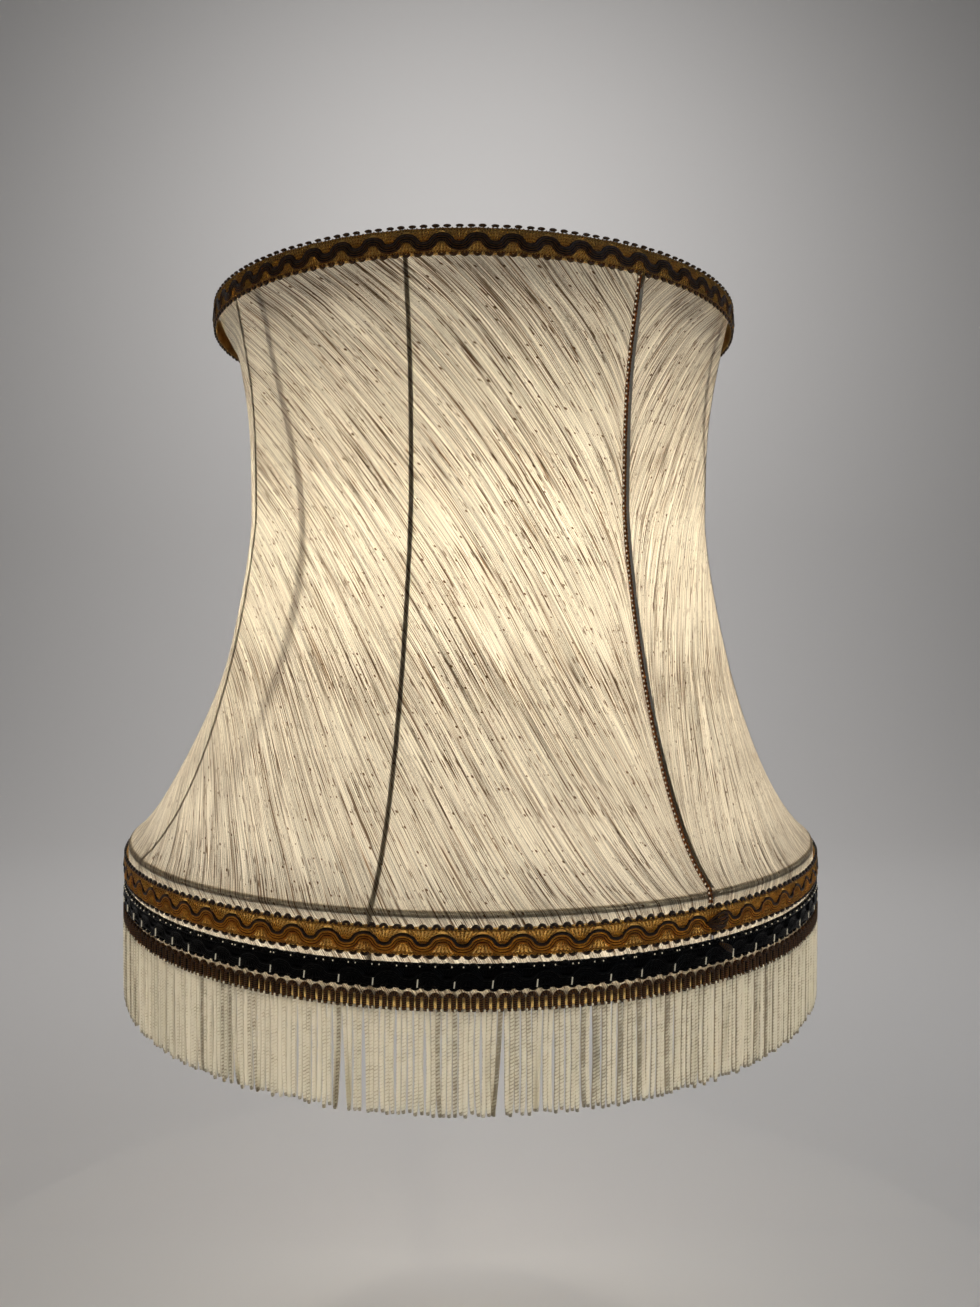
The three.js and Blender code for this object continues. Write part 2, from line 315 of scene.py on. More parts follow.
def cord_material(name, light, dark, pitch, glow=0.3, glow_colour=(0.9, 0.7, 0.4), rough=0.5, plies=2,
                  patch=900.0, sheen=0.25, side_shade=0.6, metal=0.0, twist=1.0, hold=0.0, gloss=0.5, painted_glow=0.0):
    """Twisted yarn. `glow` is the share of lamplight that its bright parts let through, and `hold`
    is how much of that its dark parts keep."""
    made, kit = material(name)
    where = kit.node("ShaderNodeTexCoord", out="Object")
    around = kit.attribute("round")
    turns = kit.attribute("along") * (1 / pitch) + around * plies
    ply = turns.math("FRACT") - 0.5
    # The colour darkens between plies, where crown falls, and on the cord's sides, where edge rises: both are
    # painted shade. crown also drives the bump.
    crown = 1 - ply * ply * (4 * twist)
    front = ((around - OUTWARD) * (2 * math.pi)).math("COSINE")
    edge = 1 - kit.step(front, -0.1, 0.8)
    back = 1 - kit.step(front, -0.6, -0.1)
    tip = kit.step(kit.attribute("drop"), 0.95, 0.99)
    fibre = kit.noise(where, 4200.0, 3.0)
    patches = kit.noise(where, patch, 2.0)
    shade = kit.step(crown + (fibre - 0.5) * 0.5 + (patches - 0.5) * 1.1 - edge * side_shade
                     - kit.attribute("tint") - tip * 0.7, 0.05, 1.0)
    # Emission Strength gives a painted glow to finishes that ask for one.
    body = kit.node("ShaderNodeBsdfPrincipled", {}, {
        "Base Color": kit.blend(shade, dark, light), "Roughness": rough, "Metallic": metal,
        "Normal": kit.bump(crown + fibre * 0.35, 0.7, 0.25 * MM), "Sheen Weight": sheen,
        "Sheen Roughness": 0.4, "Specular IOR Level": gloss,
        "Emission Color": (*glow_colour, 1), "Emission Strength": painted_glow})
    share = shade.math("MAXIMUM", back) * (glow * (1 - hold)) + glow * hold
    show(kit, kit.mix(share, body, kit.translucent(glow_colour)))
    return made


# %% Cord finishes
GOLD = cord_material("gold_yarn", (1.0, 0.62, 0.2), (0.09, 0.03, 0.007), 1.3 * MM, 0.95, (1.0, 0.84, 0.5),
                     0.34, metal=0.15, patch=1100.0, side_shade=0.8, sheen=0.1, hold=0.1)
AMBER = cord_material("amber_cord", (0.9, 0.42, 0.1), (0.03, 0.012, 0.004), 3.4 * MM, 0.97,
                      (1.0, 0.78, 0.38), 0.3, side_shade=0.8, twist=0.3, sheen=0.1, hold=0.2)
UMBER = cord_material("umber_cord", (0.15, 0.07, 0.024), (0.015, 0.007, 0.003), 3.4 * MM, 0.2,
                      (1.0, 0.6, 0.2), 0.3, side_shade=1.3, twist=0.5, sheen=0.1)
BRONZE = cord_material("bronze_cord", (0.09, 0.045, 0.022), (0.008, 0.004, 0.002), 3.0 * MM, 0.04,
                       (0.5, 0.2, 0.05), 0.32, side_shade=1.1, twist=0.6, sheen=0.05)
BLACK = cord_material("black_cord", (0.006, 0.005, 0.005), (0.001, 0.001, 0.001), 2.4 * MM, 0.0,
                      (0.02, 0.02, 0.02), 0.32, sheen=0.0, side_shade=0.9, gloss=0.2)
HEADING = cord_material("heading_cord", (0.2, 0.1, 0.032), (0.025, 0.011, 0.004), 0.9 * MM, 0.3,
                        (1.0, 0.6, 0.22), 0.55, plies=1, side_shade=1.1)
CREAM = cord_material("fringe_cord", (0.95, 0.91, 0.78), (0.3, 0.22, 0.12), 1.5 * MM, 0.98,
                      (1.0, 0.98, 0.9), 0.5, patch=240.0, side_shade=1.15, twist=0.6, hold=0.25)
SEAM_YARN = cord_material("seam_yarn", (0.6, 0.22, 0.055), (0.05, 0.017, 0.007), 3.2 * MM, 0.6,
                          (1.0, 0.55, 0.18), 0.45, hold=0.1)
# Stitch thread: translucent, and it also glows by emission, a painted glow for lamplight through the needle
# holes.
PAINTED_GLOW_STITCH = cord_material("painted_glow_stitch", (1.0, 0.96, 0.88), (0.9, 0.76, 0.52), 2.0 * MM, 0.8,
                       (1.0, 0.93, 0.76), 0.35, side_shade=0.1, hold=0.9, painted_glow=0.8)
print("cord finishes made:", GOLD.name, AMBER.name, UMBER.name, BRONZE.name, BLACK.name, HEADING.name,
      CREAM.name, SEAM_YARN.name, PAINTED_GLOW_STITCH.name)

# %% [markdown]
# ## Metal, tape and the braid's ground
#
# The frame is steel wire with a thin cream enamel, slightly uneven and yellowed. The rings are
# wound with cotton tape, because the silk is sewn to it. Behind the gimp's cords lies a thin
# woven ground, which glows amber when the lamp is lit.


# %% Metal, tape and ground
def enamel():
    made, kit = material("cream_enamel")
    where = kit.node("ShaderNodeTexCoord", out="Object")
    cloud = kit.noise(where, 60.0, 4.0)
    grain = kit.noise(where, 900.0, 3.0)
    chip = kit.step(cloud * 0.7 + grain * 0.3, 0.64, 0.67)
    colour = kit.blend(chip, kit.blend(cloud, (0.62, 0.55, 0.42), (0.78, 0.73, 0.62)), (0.2, 0.15, 0.11))
    show(kit, kit.node("ShaderNodeBsdfPrincipled", {}, {
        "Base Color": colour, "Roughness": 0.34 + chip * 0.35, "Coat Weight": 0.2,
        "Normal": kit.bump(grain - chip * 0.6, 0.35, 0.1 * MM)}))
    return made


def cotton_tape():
    made, kit = material("cotton_tape")
    where = kit.node("ShaderNodeTexCoord", out="Object")
    threads = (kit.attribute("along") * (2 * math.pi / (0.45 * MM))).math("SINE")
    across = (kit.attribute("round") * (2 * math.pi * 26)).math("SINE")
    weave = threads * across * 0.5 + 0.5
    stain = kit.noise(where, 90.0, 4.0)
    colour = kit.blend(stain * 0.7 + weave * 0.3, (0.55, 0.43, 0.28), (0.82, 0.74, 0.58))
    show(kit, kit.node("ShaderNodeBsdfPrincipled", {}, {
        "Base Color": colour, "Roughness": 0.85, "Sheen Weight": 0.2,
        "Normal": kit.bump(weave, 0.5, 0.12 * MM)}))
    return made


def ground_cloth(name, light, dark, glow_colour, glow):
    made, kit = material(name)
    weave = kit.noise(kit.node("ShaderNodeTexCoord", out="Object"), 2600.0, 2.0)
    body = kit.node("ShaderNodeBsdfPrincipled", {}, {
        "Base Color": kit.blend(kit.step(weave, 0.35, 0.65), dark, light), "Roughness": 0.7,
        "Normal": kit.bump(weave, 0.6, 0.2 * MM)})
    share = (kit.step(weave, 0.3, 0.6) * 0.45 + 0.55) * glow
    show(kit, kit.mix(share, body, kit.translucent(glow_colour)))
    return made


ENAMEL = enamel()
TAPE = cotton_tape()
GOLD_GROUND = ground_cloth("gold_ground", (0.6, 0.3, 0.07), (0.08, 0.03, 0.01), (1.0, 0.83, 0.5), 0.96)
BLACK_GROUND = ground_cloth("black_ground", (0.006, 0.005, 0.005), (0.002, 0.002, 0.002),
                            (0.01, 0.01, 0.01), 0.0)
print("metal, tape and ground finishes made")

# %% [markdown]
# ## Slub silk
#
# Silk dupion is woven from uneven yarn: thick slubs make streaks and nubs that block more
# lamplight than the thin places do. The cloth is cut on the bias, so the streaks run
# aslant, and they bend where the cloth is stretched over the frame. The cover's UV map holds
# the yarn a point lies on, in metres, and how far along that yarn it is, so every pattern here
# simply stretches along V. Lit from inside, the silk is mostly a translucent sheet. What
# varies is the share of light that comes through, and a second, browner translucent shader
# tints the slubs.


# %% Silk material
def slub_silk():
    made, kit = material("slub_silk")
    uv = kit.node("ShaderNodeUVMap", {"uv_map": "yarn"})
    split = kit.node("ShaderNodeSeparateXYZ", {}, {0: uv})
    across, along = split.out("X"), split.out("Y")

    def at(width, length, shift):
        """Where a point lies, counted in features of this width across and length along the yarns"""
        return kit.node("ShaderNodeCombineXYZ", {}, {
            0: across * (1 / width) + shift, 1: along * (1 / length) + shift, 2: shift})

    def noise(width, length, shift=0.0):
        return kit.node("ShaderNodeTexNoise", {"noise_dimensions": "2D"}, {
            "Vector": at(width, length, shift), "Scale": 1.0, "Detail": 1.0}, out="Fac")

    def slubs(width, length, size, keep, shift):
        """Long thin ovals on single yarns, with a chance of keep"""
        cell = kit.node("ShaderNodeTexVoronoi", {"voronoi_dimensions": "2D"}, {
            "Vector": at(width, length, shift), "Scale": 1.0, "Randomness": 1.0}, out="Distance")
        pick = kit.node("ShaderNodeSeparateColor", {}, {0: cell.out("Color")})
        wanted = kit.step(pick.out("Green"), 1 - keep, 1 - keep + 0.02)
        reach = size * (0.5 + pick.out("Red"))
        return (1 - kit.step(cell / reach, 0.45, 1.0)) * wanted

    def lines(width, length, thin, shift):
        """Thin lines along the yarns, wherever a stretched noise crosses its middle"""
        off = (noise(width, length, shift) - 0.5).math("ABSOLUTE")
        return 1 - kit.step(off, thin * 0.35, thin)

    yarns = kit.step(noise(0.62 * MM, 120 * MM), 0.36, 0.64)
    fine = kit.step(noise(0.4 * MM, 60 * MM, 3.1), 0.36, 0.64)
    bands = noise(3.2 * MM, 190 * MM, 5.7)
    weft = noise(1.2 * MM, 0.45 * MM, 6.6)
    fade = kit.step(noise(5 * MM, 60 * MM, 2.9), 0.3, 0.48)
    dark_line = lines(1.9 * MM, 220 * MM, 0.034, 2.1)
    dark_line = dark_line.math("MAXIMUM", lines(1.1 * MM, 150 * MM, 0.036, 8.8) * 0.8) * fade
    light_line = lines(1.5 * MM, 200 * MM, 0.042, 5.5)
    light_line = light_line.math("MAXIMUM", lines(0.9 * MM, 140 * MM, 0.05, 12.3) * 0.85)
    flecks = kit.step(noise(0.6 * MM, 2.6 * MM, 14.1), 0.6, 0.67)
    flecks = flecks * kit.step(noise(6 * MM, 26 * MM, 15.2), 0.57, 0.68)
    long_slubs = slubs(3.0 * MM, 62 * MM, 0.15, 0.5, 1.7)
    short_slubs = slubs(2.4 * MM, 15 * MM, 0.16, 0.42, 4.2)
    nubs = slubs(6.5 * MM, 7 * MM, 0.11, 0.3, 9.4)
    slub = long_slubs.math("MAXIMUM", short_slubs * 0.95).math("MAXIMUM", nubs).math("MAXIMUM", flecks * 0.45)

    open_weave = 0.6 + (yarns - 0.5) * 0.26 + (fine - 0.5) * 0.44 + (bands - 0.5) * 0.12 + (weft - 0.5) * 0.55
    open_weave = open_weave + light_line * 0.34 - dark_line * 0.54
    share = (open_weave.math("MAXIMUM", 0.1) * (1 - slub * 0.78)).math("MINIMUM", 0.98)
    pale = kit.step(yarns + (fine - 0.5) * 0.5, 0.3, 0.8)
    yarn_colour = kit.blend(pale, (0.16, 0.12, 0.08), (0.32, 0.27, 0.2))
    colour = kit.blend((slub * 0.9).math("MAXIMUM", dark_line * 0.6), yarn_colour, (0.09, 0.045, 0.016))
    height = yarns * 0.8 + fine * 0.5 + weft * 0.3 + slub + light_line * 0.3
    face = kit.node("ShaderNodeBsdfPrincipled", {}, {
        "Base Color": colour, "Roughness": 0.62, "Normal": kit.bump(height, 0.5, 0.15 * MM),
        "Sheen Weight": 0.25, "Sheen Roughness": 0.4})
    through = kit.mix(slub.math("MAXIMUM", dark_line * 0.8), kit.translucent((0.97, 0.9, 0.74)),
                      kit.translucent((0.34, 0.15, 0.03)))
    show(kit, kit.mix(share, face, through))
    return made


SILK = slub_silk()
print("silk finish made with", len(SILK.node_tree.nodes), "nodes")

# %% [markdown]
# ## Swept pieces
#
# Wires, rings and laid cords are a round section swept along a line. `sweep` builds one from
# the line's points and keeps a steady side, so the section doesn't spin, and it writes the
# `along` and `round` attributes that the cord finishes read.


# %% Sweeping helpers
def new_piece(name, verts, faces, finish, smooth=True, attributes=None):
    mesh = bpy.data.meshes.new(name)
    mesh.from_pydata([tuple(map(float, v)) for v in verts], [], [tuple(map(int, f)) for f in faces])
    for key, values in (attributes or {}).items():
        mesh.attributes.new(key, "FLOAT", "POINT").data.foreach_set("value", np.asarray(values, np.float32))
    mesh.materials.append(finish)
    if smooth:
        mesh.polygons.foreach_set("use_smooth", np.ones(len(mesh.polygons), bool))
    mesh.update()
    piece = bpy.data.objects.new(name, mesh)
    bpy.context.collection.objects.link(piece)
    return piece


def tube_faces(rows, sides, closed):
    """Faces between neighbouring rows of a tube, with two caps where it isn't closed on itself"""
    faces = []
    for i in range(rows if closed else rows - 1):
        k = (i + 1) % rows
        for j in range(sides):
            m = (j + 1) % sides
            faces.append((i * sides + j, k * sides + j, k * sides + m, i * sides + m))
    if not closed:
        faces.append(tuple(range(sides)))
        faces.append(tuple((rows - 1) * sides + j for j in reversed(range(sides))))
    return faces


def sweep(line, radius, sides=10, closed=False, up=(0, 0, 1)):
    """Vertices, faces and attributes of a round bar; the radius may vary along it and round it"""
    line = np.asarray(line, float)
    count = len(line)
    if closed:
        along = np.roll(line, -1, 0) - np.roll(line, 1, 0)
    else:
        along = np.gradient(line, axis=0)
    along /= np.linalg.norm(along, axis=1)[:, None]
    side = np.cross(along, np.asarray(up, float))
    side /= np.linalg.norm(side, axis=1)[:, None]
    top = np.cross(side, along)
    turn = np.arange(sides) / sides * 2 * math.pi
    ring = np.cos(turn)[None, :, None] * side[:, None] + np.sin(turn)[None, :, None] * top[:, None]
    radius = np.asarray(radius, float)
    if radius.ndim == 1:
        radius = radius[:, None]
    verts = (line[:, None] + ring * np.broadcast_to(radius, (count, sides))[:, :, None]).reshape(-1, 3)
    data = {"along": np.repeat(run_of(line), sides), "round": np.tile(turn / (2 * math.pi), count)}
    return verts, tube_faces(count, sides, closed), data


def face_outwards(piece):
    work = bmesh.new()
    work.from_mesh(piece.data)
    bmesh.ops.recalc_face_normals(work, faces=work.faces)
    work.to_mesh(piece.data)
    work.free()


def swept_piece(name, line, radius, finish, **how):
    verts, faces, data = sweep(line, radius, **how)
    piece = new_piece(name, verts, faces, finish, attributes=data)
    face_outwards(piece)
    return piece


def turned_piece(name, section, finish, steps, smooth):
    """A ring with this section of (radius, height in the frame), turned about the axis"""
    section = np.array(section, float)
    angle = np.arange(steps) / steps * 2 * math.pi
    verts = place(section[None, :, 0], section[None, :, 1] - SHOULDER, angle[:, None]).reshape(-1, 3)
    piece = new_piece(name, verts, tube_faces(steps, len(section), True), finish, smooth)
    face_outwards(piece)
    return piece


def joined(name, parts, finish):
    """One piece from several (vertices, faces, attributes)"""
    verts, faces, data, start = [], [], {}, 0
    for part_verts, part_faces, part_data in parts:
        verts.append(np.asarray(part_verts))
        faces += [tuple(i + start for i in f) for f in part_faces]
        for key, values in part_data.items():
            data.setdefault(key, []).append(values)
        start += len(part_verts)
    piece = new_piece(name, np.vstack(verts), faces, finish,
                      attributes={k: np.concatenate(v) for k, v in data.items()})
    face_outwards(piece)
    return piece


def faced(part, outward):
    """The part with `round` shifted so that its outward side, now at `outward`, comes to OUTWARD"""
    verts, faces, data = part
    return verts, faces, {**data, "round": data["round"] + OUTWARD - outward}


def finish_piece(piece, slot, *nodes):
    """Ride on the frame and stand for CAD nodes; the slot is not used"""
    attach(piece, "root")
    if nodes:
        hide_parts(*nodes)
    return piece


# %% [markdown]
# ## Wire frame
#
# Three rings, eight ribs, eight collar struts and a three-armed fitter are cut from steel wire
# and spot-welded. The rings are wound with tape: each turn of tape laps the last, which leaves
# a low step round the ring, so the section's radius follows a sawtooth. The ribs are plain
# wire along the inside of the outline. Small beads mark the welds.

# %% Rings wound with tape
CLOTH_INSET = 0.7 * MM  # the silk lies this far inside the CAD cover's outer face
RIB_WIRE, ARM_WIRE = 2.4 * MM, 3.2 * MM
TAPE_PITCH = 7 * MM


def ring_sizes(node):
    low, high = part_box(node)
    wire = high[2] - low[2]
    return (high[0] - low[0] - wire) / 2, (low[2] + high[2]) / 2, wire / 2


SHOULDER_WRAP = 1.95 * MM  # the cloth turns round the shoulder ring on this radius
FLARE_OUT = np.array([math.sin(FLARE_ANGLE), math.cos(FLARE_ANGLE)])  # square to the flare's foot
flare_start = np.array([SHOULDER_RADIUS, 0]) - CLOTH_INSET * FLARE_OUT
wrap_radius = COLLAR_RADIUS - CLOTH_INSET - SHOULDER_WRAP
WRAP_CENTRE = np.array([wrap_radius, flare_start[1] - (
    SHOULDER_WRAP + (wrap_radius - flare_start[0]) * FLARE_OUT[0]) / FLARE_OUT[1]])
TURN_STEPS, RING_SIDES, LAP_STEP = 7, 12, 0.22 * MM
for node in ("top_ring", "shoulder_ring", "bottom_ring"):
    radius, height, wire = ring_sizes(node)
    if node == "shoulder_ring":
        radius, height = WRAP_CENTRE[0], SHOULDER + WRAP_CENTRE[1]
    turns = round(2 * math.pi * radius / TAPE_PITCH)
    count = turns * TURN_STEPS
    angle = np.arange(count) / count * 2 * math.pi
    line = place(radius, height - SHOULDER, angle)
    lap = np.mod(angle[:, None] / (2 * math.pi) * turns + np.arange(RING_SIDES)[None] / RING_SIDES, 1)
    thick = wire + LAP_STEP * (lap - 0.5)
    bound = swept_piece(node + "_bound", line, thick, TAPE, sides=RING_SIDES, closed=True)
    finish_piece(bound, "bound_ring", node)
    print(node, "radius", round(radius / MM, 1), "mm,", turns, "turns of tape")

TOP_RING_RADIUS, TOP_RING_Z, RING_EDGE = ring_sizes("top_ring")
LOW_RING_RADIUS, LOW_RING_Z, _ = ring_sizes("bottom_ring")
SHOULDER_RING_RADIUS, SHOULDER_RING_Z, _ = ring_sizes("shoulder_ring")

# %% Ribs and collar struts
RIB_INSET = CLOTH_INSET + RIB_WIRE / 2 + 0.05 * MM  # the cloth is stretched tight over the ribs
rib_line = resample(offset(OUTLINE, -RIB_INSET)[4:-6], 60)
strut_radius = (LOW_RING_RADIUS + SHOULDER_RING_RADIUS) / 2
weld_points = []
for i in range(RIBS):
    angle = SEAM + i * PANEL
    path = place(rib_line[:, 0], rib_line[:, 1], angle)
    side = (math.cos(angle), math.sin(angle), 0)
    rib = swept_piece(f"rib_wire_{i + 1}", path, RIB_WIRE / 2, ENAMEL, up=side)
    finish_piece(rib, "frame_wire", f"rib_{i + 1}")
    heights = np.linspace(LOW_RING_Z + RING_EDGE, SHOULDER_RING_Z - RING_EDGE, 8) - SHOULDER
    path = place(strut_radius, heights, angle)
    strut = swept_piece(f"strut_wire_{i + 1}", path, RIB_WIRE / 2, ENAMEL, up=side)
    finish_piece(strut, "frame_wire", f"collar_strut_{i + 1}")
    weld_points += [place(TOP_RING_RADIUS - 1 * MM, TOP_RING_Z - SHOULDER - 2 * MM, angle),
                    place(SHOULDER_RING_RADIUS - 1.2 * MM, SHOULDER_RING_Z - SHOULDER + 1.5 * MM, angle),
                    place(strut_radius, LOW_RING_Z - SHOULDER + 2 * MM, angle)]
print("ribs run", round(float(rib_line[0, 1] / MM), 1), "to", round(float(rib_line[-1, 1] / MM), 1), "mm")

# %% [markdown]
# The fitter hangs inside the top ring. Its arms leave the ring level, bend down and in, and
# end in short feet welded to a flat ring that drops over the lampholder. Years of handling
# have bowed them a little to one side.

# %% Fitter arms
FITTER_INNER, FITTER_OUTER = 21 * MM, 29 * MM
ARM_BEND, ARM_FOOT = 9 * MM, 6 * MM
FIRST_ARM = math.radians(-49)
ARM_BOW = 11.5 * MM
BOW_RISE, BOW_DOWN, BOW_UP = 0.503 * BODY_HEIGHT, 0.255 * BODY_HEIGHT, 0.313 * BODY_HEIGHT


def rounded_turn(a, corner, b, steps=7):
    """A quarter-like bend from a to b that leans on the corner"""
    t = np.linspace(0, 1, steps)[:, None]
    return (1 - t) ** 2 * a + 2 * (1 - t) * t * corner + t ** 2 * b


def arm_line():
    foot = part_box("fitter_ring")[1][2] + 0.3 * MM + ARM_WIRE / 2
    tip, knee = np.array([FITTER_OUTER - ARM_FOOT, foot]), np.array([FITTER_OUTER + ARM_BEND, foot])
    shoulder = np.array([TOP_RING_RADIUS - RING_EDGE - 2 * ARM_BEND, TOP_RING_Z])
    head = np.array([TOP_RING_RADIUS - RING_EDGE, TOP_RING_Z])
    slope = (shoulder - knee) / np.linalg.norm(shoulder - knee) * ARM_BEND
    level = np.array([ARM_BEND, 0])
    return np.vstack([tip, rounded_turn(knee - level, knee, knee + slope),
                      knee + (shoulder - knee) * np.linspace(0.1, 0.9, 30)[:, None],
                      rounded_turn(shoulder - slope, shoulder, shoulder + level), head])


def bow_at(height):
    """How far aside the arm stands at a height above the shoulder ring"""
    share = np.clip(np.abs(height - BOW_RISE) / np.where(height < BOW_RISE, BOW_DOWN, BOW_UP), 0, 1)
    return ARM_BOW * np.cos(share * math.pi / 2) ** 2


arm_path = arm_line()
arm_height = arm_path[:, 1] - SHOULDER
for i in range(3):
    angle = FIRST_ARM + i * 2 * math.pi / 3
    path = place(arm_path[:, 0], arm_height, angle + bow_at(arm_height) / arm_path[:, 0])
    side = (math.cos(angle), math.sin(angle), 0)
    arm = swept_piece(f"arm_wire_{i + 1}", path, ARM_WIRE / 2, ENAMEL, up=side)
    finish_piece(arm, "fitter_metal", f"fitter_arm_{i + 1}")
    weld_points += [place(TOP_RING_RADIUS - RING_EDGE - 0.6 * MM, TOP_RING_Z - SHOULDER, angle),
                    place(FITTER_OUTER - 2 * MM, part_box("fitter_ring")[1][2] + 1 * MM - SHOULDER, angle)]

print("fitter arms bowed by", ARM_BOW / MM, "mm")


# %% Fitter plate
def flat_ring(inner, outer, low, high, corner):
    """Section of a flat ring with rounded edges"""
    centres = ((outer - corner, high - corner), (inner + corner, high - corner),
               (inner + corner, low + corner), (outer - corner, low + corner))
    return np.vstack([arc(centre, corner, i * math.pi / 2, (i + 1) * math.pi / 2, 4)
                      for i, centre in enumerate(centres)])


low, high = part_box("fitter_ring")
fitter = turned_piece("fitter_plate", flat_ring(FITTER_INNER, FITTER_OUTER, low[2], high[2], 0.5 * MM),
                      ENAMEL, 128, True)
finish_piece(fitter, "fitter_metal", "fitter_ring")
print("fitter plate", round((high[2] - low[2]) / MM, 2), "mm thick,", len(weld_points), "welds")

# %% [markdown]
# ## Geometry Nodes helper
#
# What repeats round the shade is made by Geometry Nodes. `grow` gives an object a tree, sets
# the named inputs by their socket identifiers, and turns the result into a plain mesh.


# %% Geometry Nodes helper
def node_tree(name, inputs):
    """A Geometry Nodes tree with named inputs, its kit and the values of its inputs"""
    tree = bpy.data.node_groups.new(name, "GeometryNodeTree")
    tree.interface.new_socket("Geometry", in_out="OUTPUT", socket_type="NodeSocketGeometry")
    for label, kind in inputs.items():
        tree.interface.new_socket(label, in_out="INPUT", socket_type="NodeSocket" + kind)
    kit = Kit(tree)
    source = tree.nodes.new("NodeGroupInput")
    kit.output = tree.nodes.new("NodeGroupOutput")
    return tree, kit, {label: Value(kit, source.outputs[label]) for label in inputs}


def end_tree(kit, geometry, finish):
    """Realize the instances, set the material and leave the tree"""
    real = kit.node("GeometryNodeRealizeInstances", {}, {0: geometry})
    dressed = kit.node("GeometryNodeSetMaterial", {}, {"Geometry": real, "Material": finish})
    kit.tree.links.new(dressed.socket, kit.output.inputs[0])


def grow(name, tree, finish, **values):
    holder = bpy.data.objects.new(name + "_maker", bpy.data.meshes.new(name + "_maker"))
    bpy.context.collection.objects.link(holder)
    modifier = holder.modifiers.new("grow", "NODES")
    modifier.node_group = tree
    labels = {item.name: item.identifier for item in tree.interface.items_tree if item.in_out == "INPUT"}
    for label, value in {**values, "Material": finish}.items():
        modifier[labels[label]] = value
    holder.update_tag()
    ready = holder.evaluated_get(bpy.context.evaluated_depsgraph_get())
    mesh = bpy.data.meshes.new_from_object(ready)
    mesh.name = name
    if not mesh.materials:
        mesh.materials.append(finish)
    mesh.polygons.foreach_set("use_smooth", np.ones(len(mesh.polygons), bool))
    bpy.data.objects.remove(holder)
    piece = bpy.data.objects.new(name, mesh)
    bpy.context.collection.objects.link(piece)
    return piece


def hidden_pattern(name, parts):
    """A small mesh that a tree copies; it is removed once the copies are real"""
    piece = joined(name, parts, GOLD)
    piece.data.materials.clear()
    return piece


# %% [markdown]
# ### A ring of copies
#
# Picots, fan threads, heading loops, stitches and fringe cords all stand in a ring. One tree
# serves them: it lays points round a circle, puts a copy of a small pattern on each, turned to
# face outwards, and can vary the length and the sway of each copy from a fixed seed.


# %% Ring tree
def ring_tree():
    tree, kit, given = node_tree("ring_of_copies", {
        "Pattern": "Object", "Count": "Int", "Radius": "Float", "Height": "Float", "Start": "Float",
        "Sway": "Float", "Stretch": "Float", "Spread": "Float", "Seed": "Int", "Tint": "Float",
        "Material": "Material"})
    points = kit.node("GeometryNodePoints", {}, {"Count": given["Count"]})
    index = kit.node("GeometryNodeInputIndex")

    def chance(extra):
        """A random number from -1 to 1 for each copy"""
        return kit.node("FunctionNodeRandomValue", {"data_type": "FLOAT"}, {
            2: -1.0, 3: 1.0, "Seed": given["Seed"] + extra}, out=1)

    angle = (index + chance(1) * given["Spread"]) / given["Count"] * (2 * math.pi) + given["Start"]
    sine, cosine = angle.math("SINE"), angle.math("COSINE")
    radius = given["Radius"] + chance(2) * given["Sway"] * 0.25
    spot = kit.node("ShaderNodeCombineXYZ", {}, {
        0: radius * sine, 1: radius * cosine * -1, 2: given["Height"]})
    spots = kit.node("GeometryNodeSetPosition", {}, {"Geometry": points, "Position": spot})
    pattern = kit.node("GeometryNodeObjectInfo", {}, {"Object": given["Pattern"]}, out="Geometry")
    turn = kit.node("ShaderNodeCombineXYZ", {}, {2: angle})
    size = kit.node("ShaderNodeCombineXYZ", {}, {0: 1.0, 1: 1.0, 2: 1 + chance(3) * given["Stretch"]})
    copies = kit.node("GeometryNodeInstanceOnPoints", {}, {
        "Points": spots, "Instance": pattern, "Rotation": turn, "Scale": size})
    drift, wild, odd = chance(4), chance(5), chance(7)
    push = (drift * 0.22 + wild * wild.math("ABSOLUTE") ** 20 * 1.7) * given["Sway"]
    for label, value in (("push", push), ("aim", angle), ("kick", chance(6) * given["Sway"] * 0.3),
                         ("tint", odd * odd.math("ABSOLUTE") ** 3 * given["Tint"])):
        copies = kit.node("GeometryNodeStoreNamedAttribute", {"data_type": "FLOAT", "domain": "INSTANCE"}, {
            "Geometry": copies, "Name": label, "Value": value})
    real = kit.node("GeometryNodeRealizeInstances", {}, {0: copies})

    def read(label):
        return kit.node("GeometryNodeInputNamedAttribute", {"data_type": "FLOAT"}, {"Name": label})

    drop = read("drop")
    bend = read("push") * drop * drop + read("kick") * (drop * math.pi).math("SINE")
    lift = (read("push").math("ABSOLUTE") * drop * drop) * 0.35
    aim = read("aim")
    shift = kit.node("ShaderNodeCombineXYZ", {}, {
        0: bend * aim.math("COSINE"), 1: bend * aim.math("SINE"), 2: lift})
    swayed = kit.node("GeometryNodeSetPosition", {}, {"Geometry": real, "Offset": shift})
    end_tree(kit, swayed, given["Material"])
    return tree


RING = ring_tree()


def ring_of(name, pattern_parts, finish, **values):
    """Copies of a pattern round the shade, as one piece"""
    pattern = hidden_pattern(name + "_pattern", pattern_parts)
    piece = grow(name, RING, finish, Pattern=pattern, **values)
    bpy.data.objects.remove(pattern)
    print(name, len(piece.data.polygons), "faces")
    return piece


